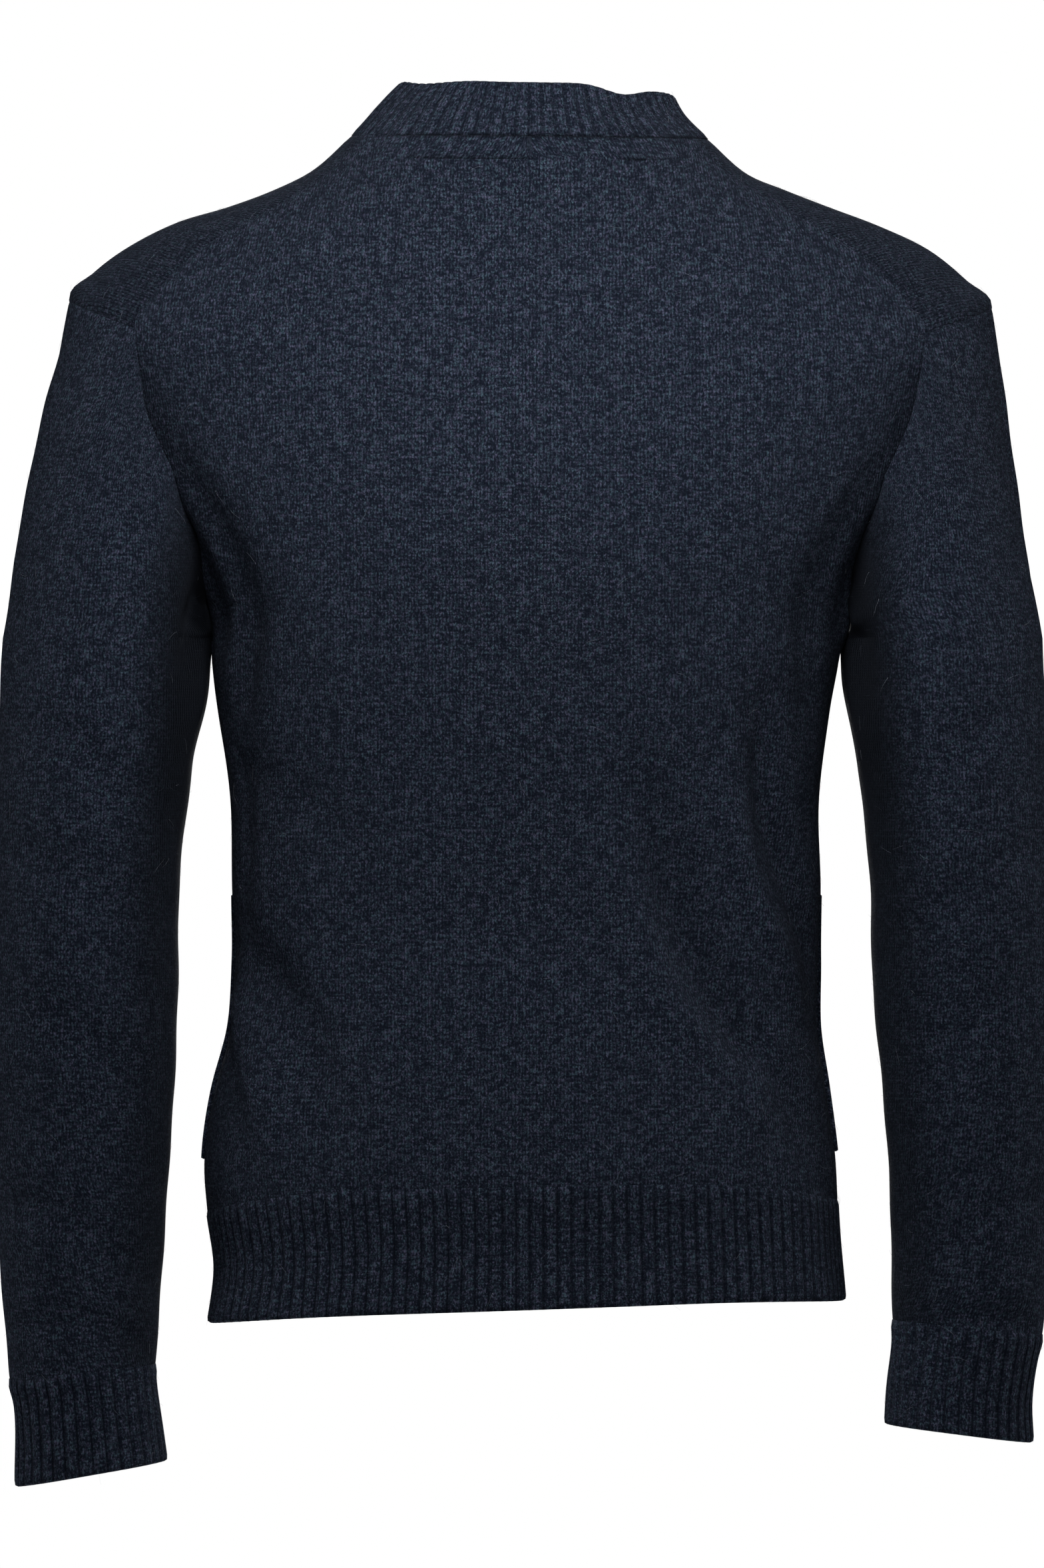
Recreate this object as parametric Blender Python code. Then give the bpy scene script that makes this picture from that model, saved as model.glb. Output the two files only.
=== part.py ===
"""A round-neck cardigan in felted wool knit, buttoned up and filled out as it is when worn.

Metres, +Z up. The front faces -Y, so the wearer's left is +X. The origin is the middle of the neck at
the height of the shoulders, where the wearer carries the garment.

Every cloth piece is a wall between an outer and an inner sheet of points. The points come from two
surfaces: the body, made of rows that climb from the hem over the shoulders to the neck edge, and the
sleeves, made of sections down the arm. The pieces are cut from these surfaces along the real seams.
"""

import math

import bmesh
import bpy
from mathutils import Vector

# Cloth
CLOTH = 0.0022
HALF_SEAM = 0.00018
STRIP_CLOTH = 0.0011
LIFT = 0.0004
BUTTON_LIFT = 0.0009

# Rib knit: a groove and a flat ridge for each rib, three columns to a rib
RIB_RELIEF = 0.0012
RIB_COLUMNS = 3
RIB_PITCH = 0.0078
CUFF_RIBS = 28
BAND_RIBS = 4

# Front opening
BAND_HALF = 0.016
UPPER_BAND_OUT = 0.0020
UNDER_BAND_IN = 0.0007
BUTTON_COUNT = 7
BUTTON_RADIUS = 0.0090
BUTTON_HEIGHT = 0.0034
BUTTON_DISH = 0.0010
BUTTON_RIM = 0.0026
BUTTON_ROUND = 0.0009
BUTTON_SIDES = 16
HOLE_SIDES = 6
HOLE_RADIUS = 0.0009
HOLE_OFFSET = 0.0018
TOP_BUTTON_Z = -0.062
LOW_BUTTON_Z = -0.598

# Columns in the panels
BACK_HALF_COLUMNS = 10
FRONT_COLUMNS = 10
SHOULDER_COLUMNS = 4
RING_STEPS = 90

# Rows of the body, from the hem up. left and right are half widths seen from the back, tilt is how much
# lower the left side hangs than the middle, and corner is 1 for an ellipse and less for a squarer ring.
ROW_COLUMNS = ("left", "right", "side_z", "back_y", "back_z", "front_y", "front_z", "corner", "tilt")
BODY_ROWS = (
    (0.1735, 0.1715, -0.620, 0.106, -0.617, -0.107, -0.613, 0.84, 0.006),
    (0.1703, 0.1693, -0.592, 0.103, -0.585, -0.105, -0.588, 0.84, 0.005),
    (0.1732, 0.1680, -0.563, 0.107, -0.552, -0.108, -0.563, 0.84, 0.003),
    (0.1732, 0.1668, -0.536, 0.105, -0.527, -0.109, -0.536, 0.84, 0.002),
    (0.1712, 0.1632, -0.500, 0.101, -0.494, -0.108, -0.500, 0.84, 0.001),
    (0.1642, 0.1588, -0.465, 0.096, -0.461, -0.107, -0.465, 0.84, 0.000),
    (0.1597, 0.1578, -0.430, 0.092, -0.428, -0.106, -0.430, 0.84, 0.000),
    (0.1600, 0.1580, -0.396, 0.092, -0.395, -0.108, -0.396, 0.84, 0.000),
    (0.1605, 0.1570, -0.350, 0.097, -0.350, -0.113, -0.350, 0.84, 0.000),
    (0.1675, 0.1612, -0.300, 0.106, -0.301, -0.120, -0.302, 0.84, 0.000),
    (0.1712, 0.1668, -0.270, 0.111, -0.272, -0.124, -0.273, 0.84, 0.000),
    (0.1740, 0.1710, -0.240, 0.116, -0.243, -0.127, -0.243, 0.85, 0.000),
    (0.1930, 0.1915, -0.199, 0.119, -0.206, -0.128, -0.223, 0.88, 0.000),
    (0.2130, 0.2125, -0.157, 0.118, -0.173, -0.126, -0.203, 0.92, -0.001),
    (0.2320, 0.2320, -0.116, 0.113, -0.141, -0.121, -0.181, 0.96, -0.001),
    (0.2490, 0.2500, -0.077, 0.106, -0.112, -0.115, -0.158, 1.00, -0.002),
    (0.2350, 0.2355, -0.061, 0.102, -0.098, -0.112, -0.147, 1.00, -0.002),
    (0.2150, 0.2150, -0.0455, 0.097, -0.082, -0.109, -0.137, 1.00, -0.001),
    (0.1900, 0.1890, -0.0330, 0.091, -0.0645, -0.105, -0.126, 1.00, -0.001),
    (0.1630, 0.1620, -0.0238, 0.084, -0.046, -0.100, -0.115, 1.00, 0.000),
    (0.1380, 0.1380, -0.0145, 0.077, -0.0275, -0.094, -0.103, 1.00, 0.000),
    (0.1160, 0.1165, -0.0030, 0.070, -0.008, -0.087, -0.090, 1.00, -0.001),
    (0.0960, 0.0965, 0.0140, 0.062, 0.013, -0.079, -0.075, 1.00, -0.001),
    (0.0825, 0.0840, 0.0260, 0.055, 0.029, -0.071, -0.064, 1.00, -0.001),
    (0.0695, 0.0780, 0.0360, 0.050, 0.0430, -0.064, -0.052, 1.00, -0.001),
)
HEM_END, HEM_TOP, UNDERARM, TIP, NECK, NECK_TOP = 0, 2, 11, 15, 22, 24
LOWER_ROWS = (2, 3, 4, 5, 6, 7, 8, 9, 10, 11)
ARMHOLE_ROWS = (11.15, 11.5, 12, 12.5, 13, 13.5, 14, 14.5, 15)
SHOULDER_ROWS = (16, 17, 18, 19, 20, 21, 22)
PANEL_ROWS = LOWER_ROWS + ARMHOLE_ROWS + SHOULDER_ROWS
TIP_ROW_INDEX = PANEL_ROWS.index(TIP)
UNDERARM_INDEX = PANEL_ROWS.index(UNDERARM)

# Seam angles round the body, in degrees: 0 is the wearer's side and 90 the middle of the back
ARMHOLE_BACK, ARMHOLE_FRONT, ARMHOLE_JOINT = 24.0, 27.0, 31.5
SEAM_AT_NECK = 20.0
BACK_RISE = 1.3

# Patch pockets: their rows of the body, and their columns of the front panel from the middle outwards
POCKET_LOW, POCKET_HIGH = 3, 7
POCKET_COLUMNS = (4, 5, 6, 7, 8, 9, 9.8)
POCKET_NARROWING = 0.6
POCKET_GAPE = 0.004

# The strip over the back neck seam, in rows below the neckband and columns of the back panel
STRIP_ROWS = (0.46, 0.22, 0.02)
STRIP_START, STRIP_END, STRIP_STEPS = 2.2, 17.8, 18

# Soft folds in the body. reach is half a fold's height, spread half its width in degrees, and lean is how
# many degrees it turns over a metre of height.
FOLD_COLUMNS = ("side", "angle", "z", "reach", "spread", "depth", "lean")
BODY_FOLDS = (
    ("right", 38.0, -0.470, 0.085, 9.0, -0.0045, 90.0),
    ("right", 60.0, -0.500, 0.070, 9.0, 0.0030, 70.0),
    ("left", 30.0, -0.440, 0.080, 9.0, -0.0040, -80.0),
    ("left", 52.0, -0.520, 0.050, 9.0, 0.0030, -60.0),
    ("right", 36.0, -0.225, 0.060, 8.0, -0.0040, -40.0),
    ("left", 36.0, -0.225, 0.060, 8.0, -0.0040, -40.0),
    ("right", -32.0, -0.300, 0.070, 9.0, -0.0035, 60.0),
    ("left", -32.0, -0.310, 0.070, 9.0, -0.0035, 60.0),
)

# Sections down the sleeves, from the upper arm to the cuff edge. x and y are the section's middle.
SECTION_COLUMNS = ("z", "x", "half_x", "y", "half_y", "tilt")
SLEEVE_SECTIONS = {
    "left": (
        (-0.257, 0.2293, 0.0540, 0.000, 0.0590, 0.000),
        (-0.293, 0.2323, 0.0540, 0.000, 0.0585, 0.000),
        (-0.329, 0.2352, 0.0530, -0.001, 0.0575, 0.000),
        (-0.387, 0.2400, 0.0510, -0.004, 0.0550, 0.000),
        (-0.445, 0.2415, 0.0513, -0.009, 0.0530, 0.000),
        (-0.502, 0.2420, 0.0500, -0.015, 0.0500, 0.001),
        (-0.560, 0.2427, 0.0467, -0.021, 0.0465, 0.002),
        (-0.617, 0.2427, 0.0425, -0.027, 0.0430, 0.003),
        (-0.654, 0.2420, 0.0395, -0.031, 0.0395, 0.004),
        (-0.668, 0.2403, 0.0381, -0.032, 0.0375, 0.005),
        (-0.690, 0.2385, 0.0390, -0.034, 0.0375, 0.006),
        (-0.709, 0.2372, 0.0406, -0.036, 0.0385, 0.007),
    ),
    "right": (
        (-0.257, 0.2240, 0.0518, 0.000, 0.0590, 0.000),
        (-0.293, 0.2268, 0.0525, 0.000, 0.0585, 0.000),
        (-0.329, 0.2297, 0.0520, -0.001, 0.0575, 0.000),
        (-0.387, 0.2345, 0.0505, -0.004, 0.0550, 0.000),
        (-0.445, 0.2365, 0.0505, -0.009, 0.0530, 0.000),
        (-0.502, 0.2390, 0.0480, -0.015, 0.0500, 0.001),
        (-0.556, 0.2400, 0.0450, -0.021, 0.0465, 0.002),
        (-0.598, 0.2393, 0.0430, -0.025, 0.0430, 0.003),
        (-0.630, 0.2375, 0.0405, -0.029, 0.0400, 0.004),
        (-0.645, 0.2357, 0.0388, -0.030, 0.0378, 0.004),
        (-0.668, 0.2330, 0.0385, -0.032, 0.0372, 0.005),
        (-0.687, 0.2325, 0.0397, -0.034, 0.0382, 0.005),
    ),
}
CUFF_TOP = 8
CUFF_PLACES = (11, 9.2)
CAP_STEPS = 5
CAP_BULGE = 0.75

# Soft folds round the sleeves, climbing by the lean for each degree: angle, height, reach, spread, depth
SLEEVE_FOLD_LEAN = 0.0002
SLEEVE_FOLDS = (
    (300.0, -0.400, 0.016, 60.0, -0.0040),
    (280.0, -0.435, 0.018, 60.0, -0.0035),
    (110.0, -0.300, 0.022, 45.0, -0.0030),
    (60.0, -0.620, 0.014, 70.0, -0.0025),
)

WOOL = (0.020, 0.028, 0.045)
WOOL_RIB = (0.018, 0.025, 0.041)
HORN = (0.015, 0.014, 0.016)


def catmull(a, b, c, d, t):
    """The smooth curve through b and c, a share t of the way from b to c."""
    return 0.5 * (2 * b + (c - a) * t + (2 * a - 5 * b + 4 * c - d) * t * t + (3 * b - a - 3 * c + d) * t**3)


def between_rows(table, place):
    """The numbers of a table at a place between its rows, on a smooth curve through them."""
    last = len(table) - 1
    place = min(max(place, 0.0), float(last))
    low = min(int(place), last - 1)
    rows = [table[min(max(k, 0), last)] for k in (low - 1, low, low + 1, low + 2)]
    return [catmull(*values, place - low) for values in zip(*rows)]


def share(value, low, high):
    """How far value lies from low to high, held between 0 and 1."""
    return min(max((value - low) / (high - low), 0.0), 1.0)


def ease(value, low, high):
    t = share(value, low, high)
    return t * t * (3 - 2 * t)


def signed_power(value, power):
    return math.copysign(abs(value) ** power, value)


def back_edge(place):
    """Angle of the back panel's edge: side seam, then armhole, then the seam behind the shoulder."""
    if place <= UNDERARM:
        return 0.0
    if place >= TIP:
        return ARMHOLE_JOINT + (SEAM_AT_NECK - ARMHOLE_JOINT) * share(place, TIP, NECK)
    t = share(place, UNDERARM, TIP)
    return ARMHOLE_BACK * math.sqrt(share(t, 0, 0.45)) + (ARMHOLE_JOINT - ARMHOLE_BACK) * ease(t, 0.6, 1.0)


def front_edge(place):
    """Angle of a front panel's edge below the shoulder tip: side seam, then armhole."""
    if place <= UNDERARM or place >= TIP:
        return 0.0
    t = share(place, UNDERARM, TIP)
    return -ARMHOLE_FRONT * math.sqrt(share(t, 0, 0.35)) * math.cos(math.pi / 2 * share(t, 0.5, 1.0))


def fold_depth(side, angle, z):
    depth = 0.0
    for fold in [dict(zip(FOLD_COLUMNS, values)) for values in BODY_FOLDS]:
        if fold["side"] == side:
            above = z - fold["z"]
            across = (angle - fold["angle"] - fold["lean"] * above) / fold["spread"]
            depth += fold["depth"] * math.exp(-across * across - (above / fold["reach"]) ** 2)
    return depth


def body_point(side, place, angle):
    """A point of the body surface on the wearer's left. The right side is mirrored afterwards."""
    row = dict(zip(ROW_COLUMNS, between_rows(BODY_ROWS, place)))
    turn = math.radians(angle)
    over = angle if angle <= 90 else 180 - angle
    across = signed_power(math.cos(turn), row["corner"])
    deep = signed_power(math.sin(turn), row["corner"])
    if angle >= 0:
        y = row["back_y"] * deep
        rise = math.sin(math.radians(min(90.0, BACK_RISE * over))) ** 2
        z = row["side_z"] + (row["back_z"] - row["side_z"]) * rise
    else:
        y = -row["front_y"] * deep
        z = row["side_z"] + (row["front_z"] - row["side_z"]) * math.sin(turn) ** 2
    lower = 1 if side == "left" else -1
    z -= row["tilt"] * across * lower
    out = fold_depth(side, over, z)
    return Vector((row[side] * across + out * math.cos(turn), y + out * math.sin(turn), z))


def body_normal(side, place, angle):
    step_row, step_angle = 0.04, 1.5
    low, high = max(place - step_row, 0), min(place + step_row, len(BODY_ROWS) - 1)
    along = body_point(side, place, angle + step_angle) - body_point(side, place, angle - step_angle)
    up = body_point(side, high, angle) - body_point(side, low, angle)
    return along.cross(up).normalized()


def spread_angles(side, place, start, stop, count):
    """Angles that split a stretch of a body row into equal lengths."""
    fine = [start + (stop - start) * k / RING_STEPS for k in range(RING_STEPS + 1)]
    points = [body_point(side, place, a) for a in fine]
    run = running_length(points)
    return [look_up(run, fine, run[-1] * k / count) for k in range(count + 1)]


def running_length(points):
    run = [0.0]
    for a, b in zip(points, points[1:]):
        run.append(run[-1] + (b - a).length)
    return run


def look_up(run, values, length):
    """The value at a length along a line whose running lengths are in run."""
    for k in range(1, len(run)):
        if length <= run[k] or k == len(run) - 1:
            t = (length - run[k - 1]) / (run[k] - run[k - 1])
            return values[k - 1] * (1 - t) + values[k] * t


def opening_angle(side, place):
    """The angle at which a row meets the edge of the button band."""
    row = dict(zip(ROW_COLUMNS, between_rows(BODY_ROWS, place)))
    return -math.degrees(math.acos((BAND_HALF / row[side]) ** (1 / row["corner"])))


def surface_row(side, place, angles):
    return [(body_point(side, place, a), body_normal(side, place, a)) for a in angles]


def squared(pair, sign=1):
    """A pair at the edge of the front opening, its normal turned to face straight across the band."""
    point, normal = pair
    return Vector((sign * BAND_HALF, point.y, point.z)), Vector((0, normal.y, normal.z)).normalized()


def mirrored(row):
    """A row of (point, normal) pairs on the wearer's right, still running the same way round."""
    return [(Vector((-p.x, p.y, p.z)), Vector((-n.x, n.y, n.z))) for p, n in reversed(row)]


def back_row(place):
    halves = {}
    for side in ("left", "right"):
        angles = spread_angles(side, place, back_edge(place), 90.0, BACK_HALF_COLUMNS)
        halves[side] = surface_row(side, place, angles)
    return halves["left"] + mirrored(halves["right"])[1:]


def front_half_row(side, place):
    """A front panel's row, from the button band to the side, then over the shoulder to the back."""
    start = opening_angle(side, place)
    row = surface_row(side, place, spread_angles(side, place, start, front_edge(place), FRONT_COLUMNS))
    row[0] = squared(row[0])
    over = back_edge(place) if place >= TIP else 0.0
    for k in range(1, SHOULDER_COLUMNS + 1):
        angle = over * k / SHOULDER_COLUMNS
        row.append((body_point(side, place, angle), body_normal(side, place, angle)))
    return row


def sleeve_point(side, place, angle):
    section = dict(zip(SECTION_COLUMNS, between_rows(SLEEVE_SECTIONS[side], place)))
    turn = math.radians(angle)
    height = section["z"] - section["tilt"] * math.cos(turn)
    out = 0.0
    for middle, level, reach, spread, most in SLEEVE_FOLDS:
        away = (angle - middle + 180) % 360 - 180
        above = height - level - SLEEVE_FOLD_LEAN * away
        out += most * math.exp(-((away / spread) ** 2) - (above / reach) ** 2)
    x = section["x"] + (section["half_x"] + out) * math.cos(turn)
    y = section["y"] + (section["half_y"] + out) * math.sin(turn)
    return Vector((x, y, height))


def armhole_loop(side):
    """The armhole seam from the underarm up the front, over the shoulder and down the back."""
    up_front = [(place, front_edge(place)) for place in (UNDERARM,) + ARMHOLE_ROWS]
    over = [(TIP, ARMHOLE_JOINT * k / SHOULDER_COLUMNS) for k in range(1, SHOULDER_COLUMNS + 1)]
    down_back = [(place, back_edge(place)) for place in reversed(ARMHOLE_ROWS[:-1])]
    return [(body_point(side, *at), body_normal(side, *at)) for at in up_front + over + down_back]


def sleeve_rows(side, places):
    """Sleeve points on the wearer's left, from the last place up to the armhole, underarm first."""
    loop = armhole_loop(side)
    seam = [p for p, _ in loop]
    run = running_length(seam + seam[:1])
    angles = [180 + 360 * length / run[-1] for length in run[:-1]]
    rows = [[sleeve_point(side, place, a) for a in angles] for place in reversed(places)]
    upper_arm = rows[-1]
    for step in range(1, CAP_STEPS + 1):
        t = step / CAP_STEPS
        row = []
        for start, end, angle in zip(upper_arm, seam, angles):
            above = Vector((start.x, start.y, (start.z + end.z) / 2))
            bulge = CAP_BULGE * abs(math.sin(math.radians(angle)))
            bend = (start + end) / 2 * (1 - bulge) + above * bulge
            row.append(start * (1 - t) ** 2 + bend * 2 * t * (1 - t) + end * t * t)
        rows.append(row)
    return rows, loop


def armhole_seam(loop, below):
    """For each armhole point, the seam's outward normal and the way from the body to the sleeve."""
    count = len(loop)
    seams = []
    for k, (point, normal) in enumerate(loop):
        along = (loop[(k + 1) % count][0] - loop[k - 1][0]).normalized()
        to_body = normal.cross(along).normalized()
        to_sleeve = below[k] - point
        to_sleeve = (to_sleeve - along * to_sleeve.dot(along)).normalized()
        apart = to_sleeve - to_body
        seams.append((apart.cross(along).normalized(), apart.normalized()))
    return seams


def grid_normals(rows):
    """Normals of a closed ring of columns whose rows climb and whose columns turn anticlockwise."""
    grid = []
    for i, row in enumerate(rows):
        above, under = rows[min(i + 1, len(rows) - 1)], rows[max(i - 1, 0)]
        count = len(row)
        grid.append([])
        for j, point in enumerate(row):
            along = row[(j + 1) % count] - row[j - 1]
            grid[-1].append((point, along.cross(above[j] - under[j]).normalized()))
    return grid


def moved(pair, distance):
    point, normal = pair
    return point + normal * distance, normal


def sampled(grid_row, count, closed=False):
    """A row read at equal lengths along its straight stretches, with its normals."""
    row = grid_row + grid_row[:1] if closed else grid_row
    run = running_length([p for p, _ in row])
    lengths = [run[-1] * k / count for k in range(count if closed else count + 1)]
    points = [look_up(run, [p for p, _ in row], x) for x in lengths]
    normals = [look_up(run, [n for _, n in row], x).normalized() for x in lengths]
    return list(zip(points, normals))


# Walls of cloth


def wall_quads(grid, closed, keep):
    columns = len(grid[0])
    quads = []
    for i in range(len(grid) - 1):
        for j in range(columns if closed else columns - 1):
            if keep is None or keep(i, j):
                k = (j + 1) % columns
                quads.append(((i, j), (i, k), (i + 1, k), (i + 1, j)))
    return quads


def border_edges(quads):
    edges = {(q[k], q[(k + 1) % 4]): q for q in quads for k in range(4)}
    return {edge: q for edge, q in edges.items() if (edge[1], edge[0]) not in edges}


def seam_shifts(grid, border):
    """How each border point moves so that the piece stops short of its seams, mitred at corners."""
    inward = {}
    for (a, b), quad in border.items():
        start, end = grid[a[0]][a[1]][0], grid[b[0]][b[1]][0]
        along = (end - start).normalized()
        middle = sum((grid[i][j][0] for i, j in quad), Vector()) / 4
        to_middle = middle - start
        across = (to_middle - along * to_middle.dot(along)).normalized()
        for key in (a, b):
            inward.setdefault(key, []).append(across)
    shifts = {}
    for key, ways in inward.items():
        total = sum(ways, Vector())
        spread = 1 + ways[0].dot(ways[-1]) if len(ways) > 1 else 1
        shifts[key] = total / max(spread, 0.4) * HALF_SEAM
    return shifts


def cloth_wall(name, grid, color, closed=False, keep=None, relief=None, inner_step=1, thick=CLOTH):
    """A wall from a grid of (outer point, normal), with its ribs raised outside over a plain inside.

    inner_step above 1 gives the inside one column for that many outer ones.
    """
    quads = wall_quads(grid, closed, keep)
    border = border_edges(quads)
    shifts = seam_shifts(grid, border)
    columns = len(grid[0])
    mesh = bmesh.new()
    outer, inner = {}, {}
    for key in sorted({key for quad in quads for key in quad}):
        point, normal = grid[key[0]][key[1]]
        point = point + shifts.get(key, Vector())
        outer[key] = mesh.verts.new(point + normal * (relief(*key) if relief else 0.0))
        if key[1] % inner_step == 0:
            inner[key] = mesh.verts.new(point - normal * thick)
    for quad in quads:
        mesh.faces.new([outer[key] for key in quad])
        i, j = quad[0]
        if j % inner_step == 0:
            k = (j + inner_step) % columns if closed else j + inner_step
            mesh.faces.new([inner[key] for key in ((i, j), (i + 1, j), (i + 1, k), (i, k))])
    for (a, b), quad in border.items():
        if inner_step == 1 or a[1] == b[1]:
            mesh.faces.new((outer[b], outer[a], inner[a], inner[b]))
    if inner_step > 1:
        ribbed_rims(mesh, outer, inner, len(grid), columns, closed, inner_step)
    return cloth_object(name, mesh, color)


def ribbed_rims(mesh, outer, inner, rows, columns, closed, step):
    """Closes the upper and lower edge of a ribbed wall, three outer columns to one inner."""
    for row, flip in ((0, False), (rows - 1, True)):
        for j in range(0, columns if closed else columns - 1, step):
            places = [(row, (j + k) % columns if closed else j + k) for k in range(step + 1)]
            o = [outer[key] for key in places]
            first, last = inner[places[0]], inner[places[-1]]
            faces = [(o[1], o[0], first), (o[2], o[1], first, last), (o[3], o[2], last)]
            for face in faces:
                mesh.faces.new(face[::-1] if flip else face)


def material(name, color, roughness):
    made = bpy.data.materials.new(name)
    made.use_nodes = True
    shader = made.node_tree.nodes["Principled BSDF"]
    shader.inputs["Base Color"].default_value = (*color, 1.0)
    shader.inputs["Roughness"].default_value = roughness
    shader.inputs["Metallic"].default_value = 0.0
    return made


def cloth_object(name, mesh, color):
    data = bpy.data.meshes.new(name)
    mesh.to_mesh(data)
    mesh.free()
    data.shade_smooth()
    data.set_sharp_from_angle(angle=math.radians(50))
    data.materials.append(material(name + "_wool", color, 0.95))
    piece = bpy.data.objects.new(name, data)
    bpy.context.scene.collection.objects.link(piece)
    piece.parent = GARMENT
    return piece


def rib_relief(fade_row):
    """Relief of a ribbed strip: no groove on the row where the ribs run out into the plain knit."""

    def relief(i, j):
        height = 0.0 if j % RIB_COLUMNS == 0 else RIB_RELIEF
        return height * (0.25 if i == fade_row else 1.0)

    return relief


# The panels


def make_panels():
    back = [back_row(place) for place in PANEL_ROWS]
    fronts = {
        "left": [front_half_row("left", place) for place in PANEL_ROWS],
        "right": [front_half_row("right", place) for place in PANEL_ROWS],
    }
    sleeves = {side: make_sleeve(side, back, fronts[side]) for side in ("left", "right")}
    cloth_wall("back", back, WOOL)
    last = FRONT_COLUMNS - 1
    cloth_wall("front_left", fronts["left"], WOOL, keep=lambda i, j: j <= last or i >= TIP_ROW_INDEX)
    right = [mirrored(row) for row in fronts["right"]]
    cloth_wall(
        "front_right",
        right,
        WOOL,
        keep=lambda i, j: j >= SHOULDER_COLUMNS or i >= TIP_ROW_INDEX,
    )
    return back, fronts, sleeves


def make_sleeve(side, back, front):
    """Builds a sleeve, and gives the panels the same normals along the armhole seam."""
    rows, loop = sleeve_rows(side, range(CUFF_TOP + 1))
    grid = grid_normals(rows)
    seams = armhole_seam(loop, rows[-2])
    grid[-1] = [(loop[k][0] + seams[k][1] * HALF_SEAM, seams[k][0]) for k in range(len(loop))]
    share_armhole(side, back, front, loop, seams)
    if side == "right":
        grid = [mirrored(row) for row in grid]
    cloth_wall("sleeve_" + side, grid, WOOL, closed=True)
    return grid[0]


def share_armhole(side, back, front, loop, seams):
    rows_up = len(ARMHOLE_ROWS)
    for k, (point, _) in enumerate(loop):
        normal, apart = seams[k]
        pair = (point - apart * HALF_SEAM, normal)
        flipped = mirrored([pair])[0]
        if k <= rows_up:
            front[UNDERARM_INDEX + k][FRONT_COLUMNS] = pair
        elif k <= rows_up + SHOULDER_COLUMNS:
            front[TIP_ROW_INDEX][FRONT_COLUMNS + k - rows_up] = pair
        if k == 0 or k >= rows_up + SHOULDER_COLUMNS:
            row = back[UNDERARM_INDEX if k == 0 else TIP_ROW_INDEX - (k - rows_up - SHOULDER_COLUMNS)]
            row[0 if side == "left" else -1] = pair if side == "left" else flipped


# Rib-knit edges


def angle_of(side, place, point):
    """The angle round a body row whose point lies nearest to the given one."""
    best, low, high = 0.0, opening_angle(side, place), 90.0
    for _ in range(3):
        step = (high - low) / 30
        tries = [low + step * k for k in range(31)]
        best = min(tries, key=lambda a: (body_point(side, place, a) - point).length)
        low, high = best - step, best + step
    return best


def ring_below(base, base_place, place):
    """The row at another place that follows a row of (point, normal) pairs column by column."""
    row = []
    for point, _ in base:
        side = "left" if point.x >= 0 else "right"
        angle = angle_of(side, base_place, Vector((abs(point.x), point.y, point.z)))
        if angle < 0:
            angle *= opening_angle(side, place) / opening_angle(side, base_place)
        pair = (body_point(side, place, angle), body_normal(side, place, angle))
        row.append(pair if side == "left" else mirrored([pair])[0])
    return row


def ribbed_strip(name, base, base_place, places, fade_row, ends=()):
    """A ribbed strip from a panel's edge row to other places above or below it."""
    ribs = max(1, round(running_length([p for p, _ in base])[-1] / RIB_PITCH))
    start = sampled(base, ribs * RIB_COLUMNS)
    rows = [start] + [ring_below(start, base_place, place) for place in places]
    for row in rows:
        for end in ends:
            row[end] = squared(row[end], 1 if row[end][0].x > 0 else -1)
    if places[-1] < base_place:
        rows.reverse()
    cloth_wall(name, rows, WOOL_RIB, relief=rib_relief(fade_row), inner_step=RIB_COLUMNS)


def make_hem(back, fronts):
    places = (1, HEM_END)
    fade = len(places)
    ribbed_strip("hem_back", back[0], HEM_TOP, places, fade)
    left = fronts["left"][0][: FRONT_COLUMNS + 1]
    ribbed_strip("hem_front_left", left, HEM_TOP, places, fade, ends=(0,))
    right = mirrored(fronts["right"][0][: FRONT_COLUMNS + 1])
    ribbed_strip("hem_front_right", right, HEM_TOP, places, fade, ends=(-1,))


def make_neckband(back, fronts):
    edge = fronts["left"][-1] + back[-1][1:-1] + mirrored(fronts["right"][-1])
    ribbed_strip("neckband", edge, NECK, (NECK + 1, NECK_TOP), 0, ends=(0, -1))


def make_cuff(side, top_row):
    """A cuff from the sleeve's lower edge, its ribs straight down the arm."""
    columns = CUFF_RIBS * RIB_COLUMNS
    start = sampled(top_row, columns, closed=True)
    sign = 1 if side == "left" else -1
    _, x, half_x, y, half_y, _ = SLEEVE_SECTIONS[side][CUFF_TOP]
    turns = [math.degrees(math.atan2((p.y - y) / half_y, (sign * p.x - x) / half_x)) for p, _ in start]
    rows = []
    for place in CUFF_PLACES:
        row = [sleeve_point(side, place, turn) for turn in turns]
        rows.append([Vector((sign * p.x, p.y, p.z)) for p in row])
    rows.append([p for p, _ in start])
    grid = grid_normals(rows)
    grid[-1] = start
    fade = len(rows) - 1
    cloth_wall(
        "cuff_" + side,
        grid,
        WOOL_RIB,
        closed=True,
        relief=rib_relief(fade),
        inner_step=RIB_COLUMNS,
    )


# The front opening


def middle_front(place):
    """The straight stretch across the front opening, from the wearer's right to left."""
    pairs = []
    for side, sign in (("right", -1), ("left", 1)):
        angle = opening_angle(side, place)
        pairs.append(squared((body_point(side, place, angle), body_normal(side, place, angle)), sign))
    return pairs


def band_grid(offset, columns):
    places = (0, 1, 2, 3.5, 5, 7, 8.5, 10, 11, 12.5, 14, 16, 18, 20, 21, NECK, NECK + 1, NECK_TOP)
    grid = []
    for place in places:
        right, left = middle_front(place)
        row = []
        for k in range(columns + 1):
            point = right[0].lerp(left[0], k / columns)
            normal = right[1].lerp(left[1], k / columns).normalized()
            row.append(moved((point, normal), offset))
        grid.append(row)
    return grid


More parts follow.
